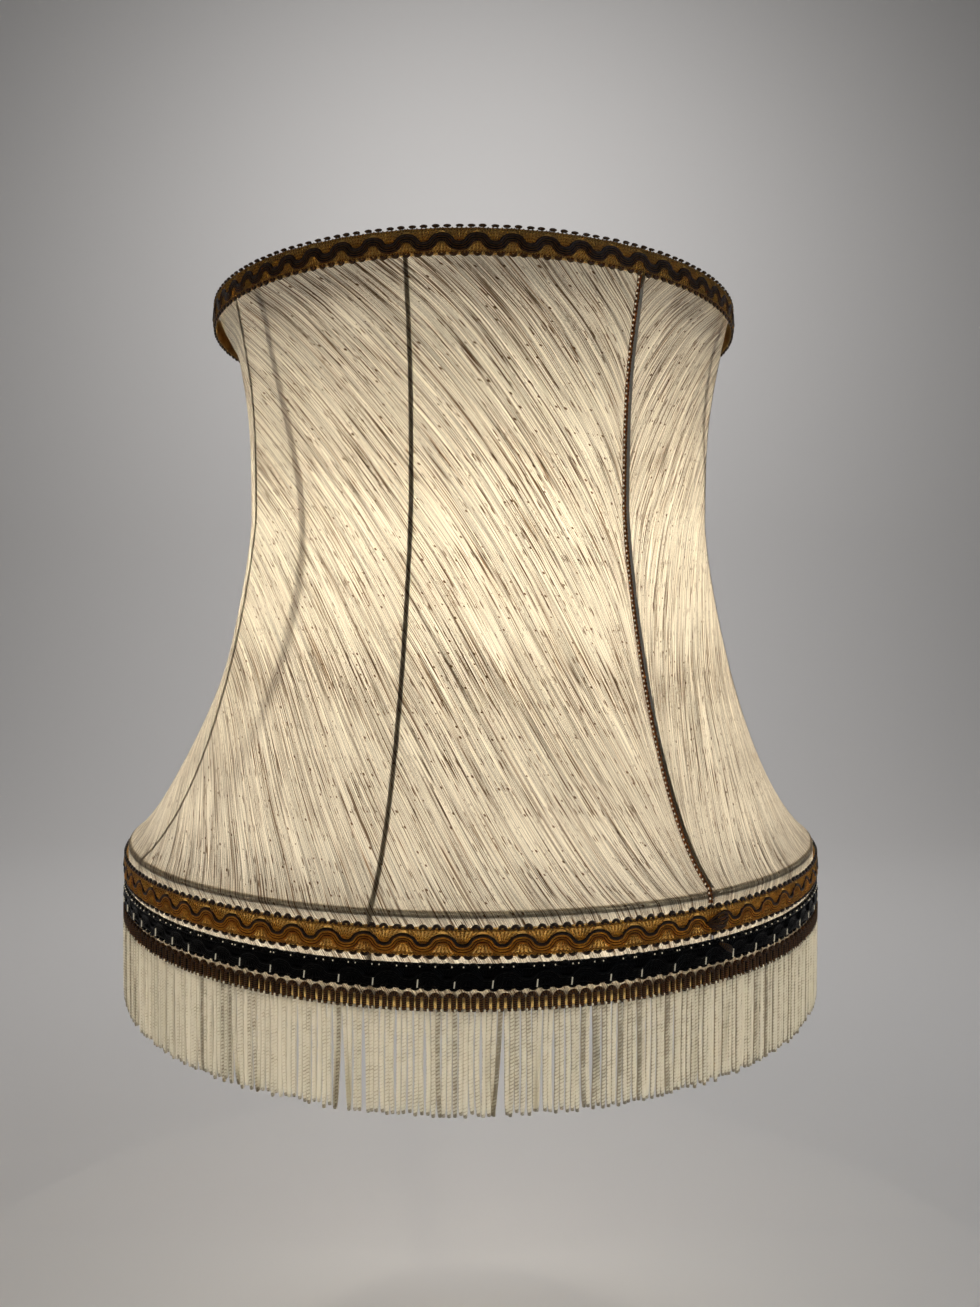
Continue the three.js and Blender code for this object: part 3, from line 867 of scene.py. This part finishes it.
# %% Weld beads
def bead(radius, squash=1.0, sides=8, rows=5):
    """A small closed ball at the origin"""
    turn = np.arange(sides) / sides * 2 * math.pi
    rise = np.linspace(-1, 1, rows + 2)[1:-1] * math.pi / 2
    top = radius * squash
    belts = [(radius * math.cos(r) * math.cos(t), radius * math.cos(r) * math.sin(t), top * math.sin(r))
             for r in rise for t in turn]
    verts = np.array([(0, 0, -top), *belts, (0, 0, top)])
    last = len(verts) - 1
    faces = []
    for j in range(sides):
        k = (j + 1) % sides
        faces.append((0, 1 + k, 1 + j))
        faces.append((last, last - sides + j, last - sides + k))
        faces += [(i + j, i + k, i + sides + k, i + sides + j) for i in range(1, last - sides, sides)]
    zeros = np.zeros(len(verts))
    return verts, faces, {"along": zeros, "round": zeros, "drop": zeros}


def moved(part, shift):
    verts, faces, data = part
    return verts + np.asarray(shift), faces, data


welds = joined("weld_beads", [moved(bead(1.7 * MM), point) for point in weld_points], ENAMEL)
finish_piece(welds, "frame_wire")

# %% [markdown]
# ## The silk cover
#
# Two halves of silk, cut on the bias, are stretched over the ribs and seamed along two of
# them. Each half is one sheet: it starts inside the bottom ring, turns round it, climbs the
# collar, bends over the shoulder ring, follows the outline, turns over the top ring and ends
# in a hem inside. A grid of points gives that directly, which a cloth simulation of a tightly
# stretched sheet would only repeat.
#
# The slanted yarns are found by following them down the sheet, row by row: each point takes
# the yarn that reaches it from the row above. Yarns lie steeper near the seam and near the
# shoulder, and flatter under the rim.


# %% Lines of the cover
def cover_line():
    """(radius, height above the shoulder) from the inner hem at the bottom to the one at the top"""
    body = resample(offset(OUTLINE, -CLOTH_INSET), 110)
    turn = WRAP_CENTRE + SHOULDER_WRAP * FLARE_OUT
    body = body[body[:, 0] < turn[0] - 0.5 * MM]
    low_centre = (LOW_RING_RADIUS, LOW_RING_Z - SHOULDER)
    top_centre = (TOP_RING_RADIUS, TOP_RING_Z - SHOULDER)
    wrap_low = COLLAR_RADIUS - CLOTH_INSET - LOW_RING_RADIUS
    wrap_top = float(np.linalg.norm(body[-1] - top_centre))
    lean = math.atan2(body[-1][1] - top_centre[1], body[-1][0] - top_centre[0])
    hem = 6 * MM
    low_hem = [(low_centre[0] - wrap_low, low_centre[1] + h) for h in (hem, hem * 0.6, hem * 0.25)]
    low_turn = arc(low_centre, wrap_low, -math.pi, 0, 12)
    collar = [(COLLAR_RADIUS - CLOTH_INSET, h) for h in np.linspace(low_centre[1], WRAP_CENTRE[1], 12)[1:-1]]
    shoulder_turn = arc(WRAP_CENTRE, SHOULDER_WRAP, 0, math.pi / 2 - FLARE_ANGLE, 7)
    top_turn = arc(top_centre, wrap_top, lean, math.pi, 12)[1:]
    top_hem = [(top_centre[0] - wrap_top, top_centre[1] - h) for h in (hem * 0.25, hem * 0.6, hem)]
    return np.vstack([low_hem, low_turn, collar, shoulder_turn, body, top_turn, top_hem])


YARN_STRETCH = 1.25  # length of a slanted yarn over the height it climbs


def yarn_slope(height, from_seam):
    """Cotangent of the yarns' angle above the horizontal"""
    degrees = np.degrees(from_seam)
    near = np.exp(-degrees / 5)
    low = 0.45 * (1 - near) + 1.3 * ease(degrees, 0, 190)
    high = 1.23 - 0.35 * near
    rise = 0.55 * np.clip((height / MM - 120) / 140, 0, 1) + 0.45 * ease(height / MM, 250, 282)
    return low * (1 - rise) + high * rise


def yarn_map(line, angles):
    """For each row and column, which yarn it is and how far along, both in metres"""
    step = run_of(line)
    wide = np.linspace(angles[0] - 2.6, angles[-1] + 9, 2200)  # far enough for yarns from past the seams
    label = wide * WAIST_RADIUS
    across, along = np.zeros((len(line), len(angles))), np.zeros((len(line), len(angles)))
    across[-1], along[-1] = np.interp(angles, wide, label), step[-1]
    for i in range(len(line) - 2, -1, -1):
        radius = max(line[i, 0], line[i + 1, 0])
        slope = yarn_slope(np.clip(line[i, 1], 0, BODY_HEIGHT), np.clip(wide, 0, math.pi))
        came_from = wide + slope * (step[i + 1] - step[i]) / radius
        label = np.interp(came_from, wide, label)
        across[i] = np.interp(angles, wide, label)
        along[i] = step[i]
    return across, along * YARN_STRETCH


# %% Two halves of silk
COLUMNS = 176
PUCKER_WIDTH, PUCKER_DEPTH = 5 * MM, 0.22 * MM


def cover_half(name, side, finish):
    """One half; side is 1 for the half left of the front seam and -1 for the right"""
    line = cover_line()
    edge = 0.25 * MM / SHOULDER_RADIUS
    from_seam = np.linspace(edge, math.pi - edge, COLUMNS + 1)
    angle = (SEAM - side * from_seam)[None]
    radius, height = line[:, 0][:, None], line[:, 1][:, None]
    body = ease(height, 0, 8 * MM) * ease(BODY_HEIGHT - height, -2 * MM, 6 * MM)
    reach = PUCKER_WIDTH / SHOULDER_RADIUS
    pucker = np.exp(-from_seam / reach) + np.exp(-(math.pi - from_seam) / reach)
    folds = np.sin(height / (1.1 * MM) + 3 * np.sin(height / (9 * MM)))
    radius = radius * draw_in(angle, height) + PUCKER_DEPTH * body * pucker[None] * folds
    verts = place(radius, height, angle).reshape(-1, 3)
    width = COLUMNS + 1
    faces = [(i * width + j, i * width + j + 1, (i + 1) * width + j + 1, (i + 1) * width + j)
             for i in range(len(line) - 1) for j in range(COLUMNS)]
    if side > 0:
        faces = [f[::-1] for f in faces]
    piece = new_piece(name, verts, faces, finish)
    across, along = yarn_map(line, from_seam)
    coords = np.stack([across + side * 1.7, along], -1).reshape(-1, 2)  # each half has yarns of its own
    uv = piece.data.uv_layers.new(name="yarn")
    corner = np.empty(len(piece.data.loops), np.int32)
    piece.data.loops.foreach_get("vertex_index", corner)
    uv.data.foreach_set("uv", coords[corner].astype(np.float32).ravel())
    return piece


cover_left = finish_piece(cover_half("silk_left", 1, SILK), "silk", "cover_left")
cover_right = finish_piece(cover_half("silk_right", -1, SILK), "silk", "cover_right")
for half in (cover_left, cover_right):
    print(half.name, round(sum(p.area for p in half.data.polygons), 4), "m2")

# %% [markdown]
# ## Seam cords
#
# A narrow cord hides each seam. Two plies twist round each other, so the line itself winds:
# each ply is a thin bar along a helix that follows the rib. Beside the cord the needle holes
# let the lamp through, and the stitches in them are beads with a painted glow. Inside, the
# folded edges of the silk lie flat along the seam and keep light back, so a darker stripe shows
# outside.

# %% Route of the seam cords
CORD_PITCH, CORD_TWIST, PLY = 3.2 * MM, 0.6 * MM, 0.62 * MM
CORD_ASIDE = 1.9 * MM  # the cord lies beside the rib, so the rib's shadow shows next to it
CORD_FOOT = -4.5 * MM  # it ends under the gold braid
STITCH_PITCH = 2.45 * MM
TURNING, TURNING_ASIDE, TURNING_DEPTH = 4.2 * MM, 1.3 * MM, 0.4 * MM

over_shoulder = arc(WRAP_CENTRE, SHOULDER_WRAP + 0.7 * MM, -0.2, math.pi / 2 - FLARE_ANGLE - 0.1, 12)
below = [(over_shoulder[0][0], h) for h in np.linspace(CORD_FOOT, over_shoulder[0][1], 8)[:-1]]
cord_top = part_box("top_braid")[0][2] - SHOULDER + 2 * MM
cord_line = resample(offset(OUTLINE, CLOTH_INSET + 0.55 * MM), 1100)
above = cord_line[(cord_line[:, 1] > over_shoulder[-1][1] + 0.3 * MM) & (cord_line[:, 1] < cord_top)]
cord_line = resample(np.vstack([below, over_shoulder, above]), 1100)
cord_run = run_of(cord_line)
stitch_at = np.arange(2 * MM, cord_run[-1] - 2 * MM, STITCH_PITCH)
print("seam cord length, mm:", round(cord_run[-1] / MM), "with", len(stitch_at), "stitches beside it")


# %% Seam cords
def seam_cord(name, angle):
    centre = place(cord_line[:, 0], cord_line[:, 1], angle - CORD_ASIDE / cord_line[:, 0])
    side = np.array([math.cos(angle), math.sin(angle), 0])
    out = np.array([math.sin(angle), -math.cos(angle), 0])
    parts = []
    for ply in range(2):
        turn = cord_run / CORD_PITCH * 2 * math.pi + ply * math.pi
        line = centre + CORD_TWIST * (np.cos(turn)[:, None] * side + 0.7 * np.sin(turn)[:, None] * out)
        parts.append(faced(sweep(line[::2], PLY, sides=6, up=side), 0.5))
    return joined(name, parts, SEAM_YARN)


def seam_stitches(name, angle):
    """Small bright beads of thread along the cord's left edge"""
    radius, height = (np.interp(stitch_at, cord_run, cord_line[:, i]) for i in (0, 1))
    points = place(radius + 0.6 * MM, height, angle - (CORD_ASIDE + 0.95 * MM) / radius)
    # The beads glow by emission: a painted glow for lamplight through the needle holes.
    return joined(name, [moved(bead(0.4 * MM, 1.3, 6, 3), point) for point in points], PAINTED_GLOW_STITCH)


def seam_turning(name, angle):
    """The folded edges of the silk: a flat strip inside the cover, closed all round"""
    line = resample(offset(OUTLINE, -CLOTH_INSET - 0.45 * MM)[3:-3], 90)
    across = np.array([-0.5, 0.5, 0.5, -0.5]) * TURNING + TURNING_ASIDE
    deep = np.array([0.5, 0.5, -0.5, -0.5]) * TURNING_DEPTH
    radius, height = line[:, 0][:, None], line[:, 1][:, None]
    verts = place(radius + deep, height, angle + across / radius).reshape(-1, 3)
    piece = new_piece(name, verts, tube_faces(len(line), 4, False), TAPE, smooth=False, attributes={
        "along": np.repeat(run_of(line), 4), "round": np.tile([0, 0.3, 0.5, 0.8], len(line))})
    face_outwards(piece)
    return piece


for node, angle in (("seam_cord_right", SEAM), ("seam_cord_left", SEAM + math.pi)):
    finish_piece(seam_cord(node + "_twist", angle), "seam_cord", node)
    finish_piece(seam_stitches(node + "_stitches", angle), "seam_cord")
    finish_piece(seam_turning(node + "_turning", angle), "silk")
print("both seams dressed")

# %% [markdown]
# ## Scroll gimp
#
# The braid round the rim and the two round the collar are one pattern in three colourings. A
# ribbon of thick cords, with thin dark cords between them as painted shade and the thickest
# along its crest, swings from side to side in even waves. Threads fan out of each hollow to a
# rope near the edge, and a row of small loops, the picots, finishes both edges. A thin ground
# holds it together.
#
# A wavy cord is a circle whose points are pushed up and down by a sine, with each cord shifted
# along the wave's own normal so the ribbon keeps its width. Picots and threads are copied
# round the ring.


# %% Wavy cord tree
def wave_tree():
    tree, kit, given = node_tree("wavy_cord", {
        "Radius": "Float", "Height": "Float", "Waves": "Int", "Swing": "Float", "Bulge": "Float",
        "Side": "Float", "Cord": "Float", "Start": "Float", "Lift": "Float", "Material": "Material"})
    circle = kit.node("GeometryNodeCurvePrimitiveCircle", {"mode": "RADIUS"}, {
        "Resolution": given["Waves"] * 20, "Radius": given["Radius"]})
    share = kit.node("GeometryNodeSplineParameter", out="Factor")
    angle = share * (2 * math.pi)
    phase = angle * given["Waves"] + given["Start"] * given["Waves"]
    step = given["Radius"] / given["Waves"]
    double = phase * 2
    run = step - double.math("COSINE") * given["Bulge"] * 2
    rise = phase.math("COSINE") * given["Swing"]
    length = (rise * rise + run * run).math("SQRT")
    up = phase.math("SINE") * given["Swing"] + given["Side"] * run / length
    around = angle - (double.math("SINE") * given["Bulge"] + given["Side"] * rise / length) / given["Radius"]
    out = given["Radius"] + given["Lift"] * phase.math("SINE")
    spot = kit.node("ShaderNodeCombineXYZ", {}, {
        0: out * around.math("SINE"), 1: out * around.math("COSINE") * -1, 2: given["Height"] + up})
    line = kit.node("GeometryNodeSetPosition", {}, {"Geometry": circle, "Position": spot})
    line = kit.node("GeometryNodeSetCurveNormal", {"mode": "Z_UP"}, {"Curve": line})
    reach = kit.node("GeometryNodeSplineParameter", out="Length")
    line = kit.node("GeometryNodeStoreNamedAttribute", {"data_type": "FLOAT", "domain": "POINT"}, {
        "Geometry": line, "Name": "along", "Value": reach})
    section = kit.node("GeometryNodeCurvePrimitiveCircle", {"mode": "RADIUS"}, {
        "Resolution": 8, "Radius": given["Cord"] * 0.5})
    turn = kit.node("GeometryNodeSplineParameter", out="Factor")
    section = kit.node("GeometryNodeStoreNamedAttribute", {"data_type": "FLOAT", "domain": "POINT"}, {
        "Geometry": section, "Name": "round", "Value": turn + OUTWARD})
    swept = kit.node("GeometryNodeCurveToMesh", {}, {"Curve": line, "Profile Curve": section})
    end_tree(kit, swept, given["Material"])
    return tree


WAVE = wave_tree()

# %% Patterns of one picot and one fan
def upright_bar(line, cord, sides):
    """A cord in the plane that faces -Y, at no drop along the fringe"""
    verts, faces, data = sweep(line, cord / 2, sides=sides, up=(0, 1, 0))
    return verts, faces, {**data, "drop": np.zeros(len(verts))}


def picot(width, height, cord):
    """A small loop that stands on z = 0, open downwards, facing -Y"""
    turn = np.linspace(0, math.pi, 9)
    return upright_bar(np.stack([-width / 2 * np.cos(turn), np.zeros(9), height * np.sin(turn)], 1), cord, 6)


def thread(a, b, cord, bow=0.0):
    """A short thread from a to b, bowed outwards"""
    a, b = np.asarray(a, float), np.asarray(b, float)
    t = np.linspace(0, 1, 5)[:, None]
    line = a + (b - a) * t
    line[:, 1] -= bow * np.sin(t[:, 0] * math.pi)
    return upright_bar(line, cord, 5)


def fan(pitch, valley, edge, cord, direction):
    """Threads that spread from one hollow of the wave to the picots"""
    parts = []
    for share in np.linspace(-0.47, 0.47, 8):
        foot = (share * pitch * 0.22, 0, valley * direction)
        head = (share * pitch, 0, edge * direction)
        parts.append(thread(foot, head, cord * (1.1 - 0.2 * abs(share)), 0.45 * MM))
    return parts


# %% Ground and ribbon
def band(name, inner, outer, low, high, finish):
    """A thin closed ring with its outer edges cut off"""
    cut = (outer - inner) * 0.4
    section = [(inner, low), (outer - cut, low), (outer, low + cut), (outer, high - cut),
               (outer - cut, high), (inner, high)]
    return turned_piece(name, section, finish, 720, False)


def ribbon_of(line, painted_shade_cord, crest):
    """Cords of a ribbon from its foot to its crest: finish, place across it and thickness, in mm"""
    # The thin dark cords between the thick ones are painted shade for the dips between cords.
    return [(line, -1.85, 0.8), (painted_shade_cord, -1.33, 0.42), (line, -0.8, 0.8), (painted_shade_cord, -0.28, 0.42),
            (line, 0.25, 0.8), (crest, 1.3, 1.45)]


# %% [markdown]
# A braid takes its place from the CAD node it stands for: the node's box gives the radius and
# the two edges. `tips` are the heights of the lower and upper picots, and `hems` say how far the
# ground stops short of each edge.

# %% Three braids
WAVE_PITCH = 16.3 * MM
BRAID_DEPTH = 1.7 * MM
PICOTS_TO_A_WAVE = 3


def gimp(node, slot, ribbon, threads, picots, ground, start, swing=2.05 * MM, tips=(0.95, 1.35),
         hems=(0.9, 1.4)):
    low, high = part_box(node)
    outer = (high[0] - low[0]) / 2
    inner = outer - BRAID_DEPTH
    middle, half = (low[2] + high[2]) / 2, (high[2] - low[2]) / 2
    waves = round(2 * math.pi * outer / WAVE_PITCH)
    pitch = 2 * math.pi * outer / waves
    made = [band(node + "_ground", inner - 0.1 * MM, inner + 0.3 * MM, low[2] + hems[0] * MM,
                 high[2] - hems[1] * MM, ground)]
    for i, (finish, side, cord) in enumerate(ribbon):
        made.append(grow(f"{node}_ribbon_{i + 1}", WAVE, finish, Radius=inner + 1.25 * MM,
                         Height=middle - 0.6 * MM, Waves=waves, Swing=swing, Bulge=0.62 * MM,
                         Side=side * MM, Cord=cord * MM, Start=start, Lift=-0.2 * MM))
    reach = half - 1.5 * MM
    valley = 1.4 * MM - swing
    for label, direction, tip, shift in (("upper", 1, tips[1], 0.75), ("lower", -1, tips[0], 0.25)):
        turn = -start + (shift / waves) * 2 * math.pi
        made.append(ring_of(f"{node}_threads_{label}", fan(pitch, valley, reach, 0.85 * MM, direction),
                            threads, Count=waves, Radius=inner + 0.7 * MM, Height=middle, Start=turn,
                            Seed=3))
        made.append(grow(f"{node}_rope_{label}", WAVE, threads, Radius=inner + 0.95 * MM,
                         Height=middle + direction * (reach - 0.75 * MM), Waves=waves,
                         Swing=0.12 * MM, Bulge=0.0, Side=0.0, Cord=1.05 * MM, Start=start, Lift=0.0))
        loop = picot(pitch / PICOTS_TO_A_WAVE * 0.46, tip * MM * direction, 1.5 * MM)
        made.append(ring_of(f"{node}_picots_{label}", [loop], picots, Count=waves * PICOTS_TO_A_WAVE,
                            Radius=inner + 0.85 * MM, Start=turn, Spread=0.06, Stretch=0.1, Seed=5,
                            Height=middle + direction * (half - tip * MM - 0.65 * MM)))
    for piece in made:
        finish_piece(piece, slot)
    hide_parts(node)
    print(node, waves, "waves of", round(pitch / MM, 2), "mm")
    return made


trims = []
trims += gimp("top_braid", "gold_gimp", ribbon_of(UMBER, BLACK, BRONZE), GOLD, UMBER, GOLD_GROUND, 0.02,
              tips=(1.2, 0.4))
trims += gimp("gold_braid", "gold_gimp", ribbon_of(AMBER, BRONZE, BRONZE), GOLD, BRONZE, GOLD_GROUND, 0.0)
trims += gimp("black_braid", "black_gimp", ribbon_of(BLACK, BLACK, BLACK), BLACK, BLACK, BLACK_GROUND,
              0.03, swing=1.6 * MM, tips=(0.6, 0.8), hems=(0.5, 0.5))

# %% [markdown]
# The black braid is too dark to show its weave. What shows is lamplight, through a slit at each
# long stitch and through the needle holes near its upper edge: both are drawn with a painted
# glow.

# %% Stitches of the black braid
low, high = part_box("black_braid")
black_out = (high[0] - low[0]) / 2
black_waves = round(2 * math.pi * black_out / WAVE_PITCH)
slit = thread((0, 0, 0), (0.3 * MM, 0, 3.2 * MM), 0.6 * MM)
# Slits and holes take the emitting stitch finish, a painted glow.
slits = ring_of("black_braid_slits", [slit], PAINTED_GLOW_STITCH, Count=black_waves, Radius=black_out + 0.15 * MM,
                Height=float(low[2]) + 1.6 * MM, Start=0.045, Spread=0.1, Stretch=0.2, Seed=41)
holes = ring_of("black_braid_holes", [bead(0.28 * MM, 1.3, 6, 3)], PAINTED_GLOW_STITCH, Count=black_waves * 3,
                Radius=black_out - 0.1 * MM, Height=float(high[2]) - 1.4 * MM, Start=0.01, Spread=0.45,
                Seed=43)
for piece in (slits, holes):
    trims.append(finish_piece(piece, "black_gimp"))

# %% [markdown]
# ## Heading and fringe
#
# The fringe hangs from a narrow looped heading: each loop is a soft cord bent over like a
# staple, side by side with the next, and needle holes between their feet are small beads with a
# painted glow. Below it hang hundreds of two-ply cords in a row. Their lengths differ by a hair,
# each one sways a little, a few are darker, and a few have sprung out of line. One straight cord
# with a hundred faces is copied, and the tree bends the copies.

# %% Heading
low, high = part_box("fringe_header")
HEADER_RADIUS = (high[0] - low[0]) / 2 - 0.9 * MM
HEADER_START = 0.01
LOOP_PITCH = 5.7 * MM
header_height = high[2] - low[2]
loops = round(2 * math.pi * HEADER_RADIUS / LOOP_PITCH)
loop_pitch = 2 * math.pi * HEADER_RADIUS / loops


def staple(width, height, cord):
    """A cord bent over: two legs and a round top, standing on z = 0"""
    turn = np.linspace(0, math.pi, 7)
    top = height - width / 2
    line = [(-width / 2, 0, z) for z in np.linspace(0, top, 4)[:-1]]
    line += [(-width / 2 * math.cos(t), 0, top + width / 2 * math.sin(t)) for t in turn]
    line += [(width / 2, 0, z) for z in np.linspace(top, 0, 4)[1:]]
    return upright_bar(line, cord, 8)


header_loop = staple(loop_pitch * 0.56, header_height - 0.9 * MM, 2.0 * MM)
header = ring_of("header_loops", [header_loop], HEADING, Count=loops, Radius=HEADER_RADIUS,
                 Height=float(low[2]), Start=HEADER_START, Spread=0.05, Stretch=0.03, Seed=11)
finish_piece(header, "header_gimp", "fringe_header")
header_ground = band("header_ground", HEADER_RADIUS - 1.1 * MM, HEADER_RADIUS - 0.8 * MM,
                     low[2] + 0.2 * MM, high[2] - 2.6 * MM, GOLD_GROUND)
finish_piece(header_ground, "header_gimp")
# Needle holes between the loops' feet: beads with a painted glow.
header_dots = ring_of("header_dots", [bead(0.42 * MM, 1.4, 6, 3)], PAINTED_GLOW_STITCH, Count=loops,
                      Radius=HEADER_RADIUS + 0.7 * MM, Height=float(low[2]) + 0.5 * MM,
                      Start=HEADER_START + math.pi / loops, Spread=0.1, Seed=13)
finish_piece(header_dots, "header_gimp")
trims += [header, header_ground, header_dots]

# %% Fringe
low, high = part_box("fringe")
fringe_length = high[2] - low[2]
FRINGE_RADIUS = (high[0] - low[0]) / 2 - 1.3 * MM
FRINGE_PITCH, FRINGE_CORD = 2.316 * MM, 2.1 * MM
LEVELS = 15


def hanging_cord(length, cord):
    """One cord that hangs from z = 0, with the drop attribute from 0 at the top to 1 at the tip"""
    levels = np.linspace(0, 1, LEVELS)
    line = np.stack([np.zeros(LEVELS), np.zeros(LEVELS), -length * levels], 1)
    thick = cord / 2 * (1 + 0.05 * np.sin(levels * 40)) * np.where(levels > 0.97, 0.72, 1)
    verts, faces, data = sweep(line, thick, sides=8, up=(0, 1, 0))
    return verts, faces, {**data, "drop": np.repeat(levels, 8)}


cords = round(2 * math.pi * FRINGE_RADIUS / FRINGE_PITCH)
fringe = ring_of("fringe_cords", [hanging_cord(fringe_length, FRINGE_CORD)], CREAM, Count=cords,
                 Radius=FRINGE_RADIUS, Height=float(high[2]) + 1.0 * MM, Spread=0.1, Sway=2.0 * MM,
                 Stretch=0.024, Tint=0.7, Seed=21)
finish_piece(fringe, "fringe_cord", "fringe")
trims.append(fringe)
print("fringe of", cords, "cords,", round(fringe_length / MM, 1), "mm long")

# %% [markdown]
# ## Braid joins
#
# Where a braid comes round to its start, the end is folded under and stitched down, which
# leaves a small lump over the front seam. It is a bundle of short cords that leave one tip,
# spread over a hump and meet again in the other.


# %% Joins
def join_bundle(name, node, finish, slot, cords, wide, tall, lean, shift=0.0, lift=0.0):
    """A lump of this width and height that leans, shift to the side and lift above its CAD node"""
    low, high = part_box(node)
    middle = (low[2] + high[2]) / 2 + lift
    radius = float(np.hypot((low[0] + high[0]) / 2, (low[1] + high[1]) / 2))
    parts = []
    for i in range(cords):
        share = (i + 0.5) / cords * 2 - 1
        t = np.linspace(-1, 1, 15)
        hump = np.cos(t * math.pi / 2) ** 0.7
        height = middle + share * tall / 2 * hump + lean * t * wide / 2
        out = radius - 1.0 * MM + (2.3 * MM * np.sqrt(np.clip(1 - share ** 2, 0, 1)) + 0.5 * MM) * hump
        line = place(out, height - SHOULDER, SEAM + (shift + t * wide / 2) / radius)
        parts.append(faced(sweep(line, 0.45 * MM + 0.14 * MM * hump, sides=7), 0.0))
    return finish_piece(joined(name, parts, finish), slot, node)


gold_join = join_bundle("gold_braid_end", "gold_braid_join", UMBER, "gold_gimp", 5, 12.4 * MM,
                        8.2 * MM, 0.12)
black_join = join_bundle("black_braid_end", "black_braid_join", HEADING, "black_gimp", 3, 8 * MM,
                         3.4 * MM, -0.55, 5 * MM, 1.6 * MM)
trims += [gold_join, black_join]
print("trimmings:", len(trims), "pieces")

# %% [markdown]
# ## Light and floor
#
# A lamp inside is what makes the shade look as it does: it draws the ribs and the blurred
# fitter arm on the silk. It is a small warm light on the axis, above the fitter. Three weaker
# ones stand for the light that the pale cloth throws back inside: one behind the fringe, one at
# the collar and one under the rim. A cool panel at the right and a warm one at the left light
# the trimmings from outside, and a third washes the wall. The floor lies well below the fringe
# and curves up into the wall, so no edge shows behind the shade.

# %% Lights and world
def inner_light(name, height, radius, power, colour):
    """A round lamp on the axis, at a height above the shoulder ring, unseen by the camera"""
    data = bpy.data.lights.new(name, "POINT")
    data.energy, data.color, data.shadow_soft_size = power, colour, radius
    light = bpy.data.objects.new(name, data)
    light.location = (0, 0, SHOULDER + height)
    light.visible_camera = False
    bpy.context.collection.objects.link(light)


inner_light("bulb", 143 * MM, 3 * MM, 0.74, (1.0, 0.92, 0.77))
inner_light("fringe_glow", -112 * MM, 30 * MM, 0.8, (1.0, 0.95, 0.86))
inner_light("low_glow", -20 * MM, 30 * MM, 0.26, (1.0, 0.8, 0.6))
inner_light("high_glow", 205 * MM, 11 * MM, 0.11, (1.0, 0.8, 0.6))


def panel(name, place_at, size, power, colour, target=(0, 0, 0.05)):
    data = bpy.data.lights.new(name, "AREA")
    data.energy, data.color, data.size = power, colour, size
    light = bpy.data.objects.new(name, data)
    light.location = place_at
    light.rotation_euler = (Vector(target) - Vector(place_at)).to_track_quat("-Z", "Y").to_euler()
    bpy.context.collection.objects.link(light)


panel("window", (1.3, -0.9, 0.7), 0.9, 2.6, (0.66, 0.82, 1.0))
panel("room", (-1.2, -1.3, 0.9), 1.2, 1.6, (1.0, 0.9, 0.78))
panel("wall_wash", (0, 0.7, 1.5), 1.2, 24.0, (1.0, 0.98, 0.97), (0, 2.4, 0.1))
world = bpy.data.worlds.new("studio")
world.use_nodes = True
world.node_tree.nodes["Background"].inputs[0].default_value = (0.62, 0.61, 0.6, 1)
world.node_tree.nodes["Background"].inputs[1].default_value = 0.06
bpy.context.scene.world = world

# %% Floor
floor_finish, kit = material("pale_floor")
show(kit, kit.node("ShaderNodeBsdfPrincipled", {}, {"Base Color": (0.74, 0.73, 0.72, 1), "Roughness": 0.8}))
floor_z = cad_box[0][2] - 300 * MM
wall_y, bend = 2.4, 0.8
curve = arc((wall_y - bend, floor_z + bend), bend, -math.pi / 2, 0, 14)
cove = np.vstack([(-3.0, floor_z), curve, (wall_y, 3.2)])
floor = new_piece("floor", [(x, y, z) for y, z in cove for x in (-4, 4)],
                  [(i * 2, i * 2 + 1, i * 2 + 3, i * 2 + 2) for i in range(len(cove) - 1)], floor_finish)
print("floor lies", round((cad_box[0][2] - floor_z) / MM), "mm below the fringe")

# %% [markdown]
# ## The silk halves
#
# Each half of the cover is cut from one piece of silk before it is stretched over the rings. The
# braids, heading and fringe are sewn to it.

for piece, others in ((cover_left, trims), (cover_right, [])):
    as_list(others)

view = bpy.context.scene.view_settings
view.view_transform = "Standard"
view.look = "None"
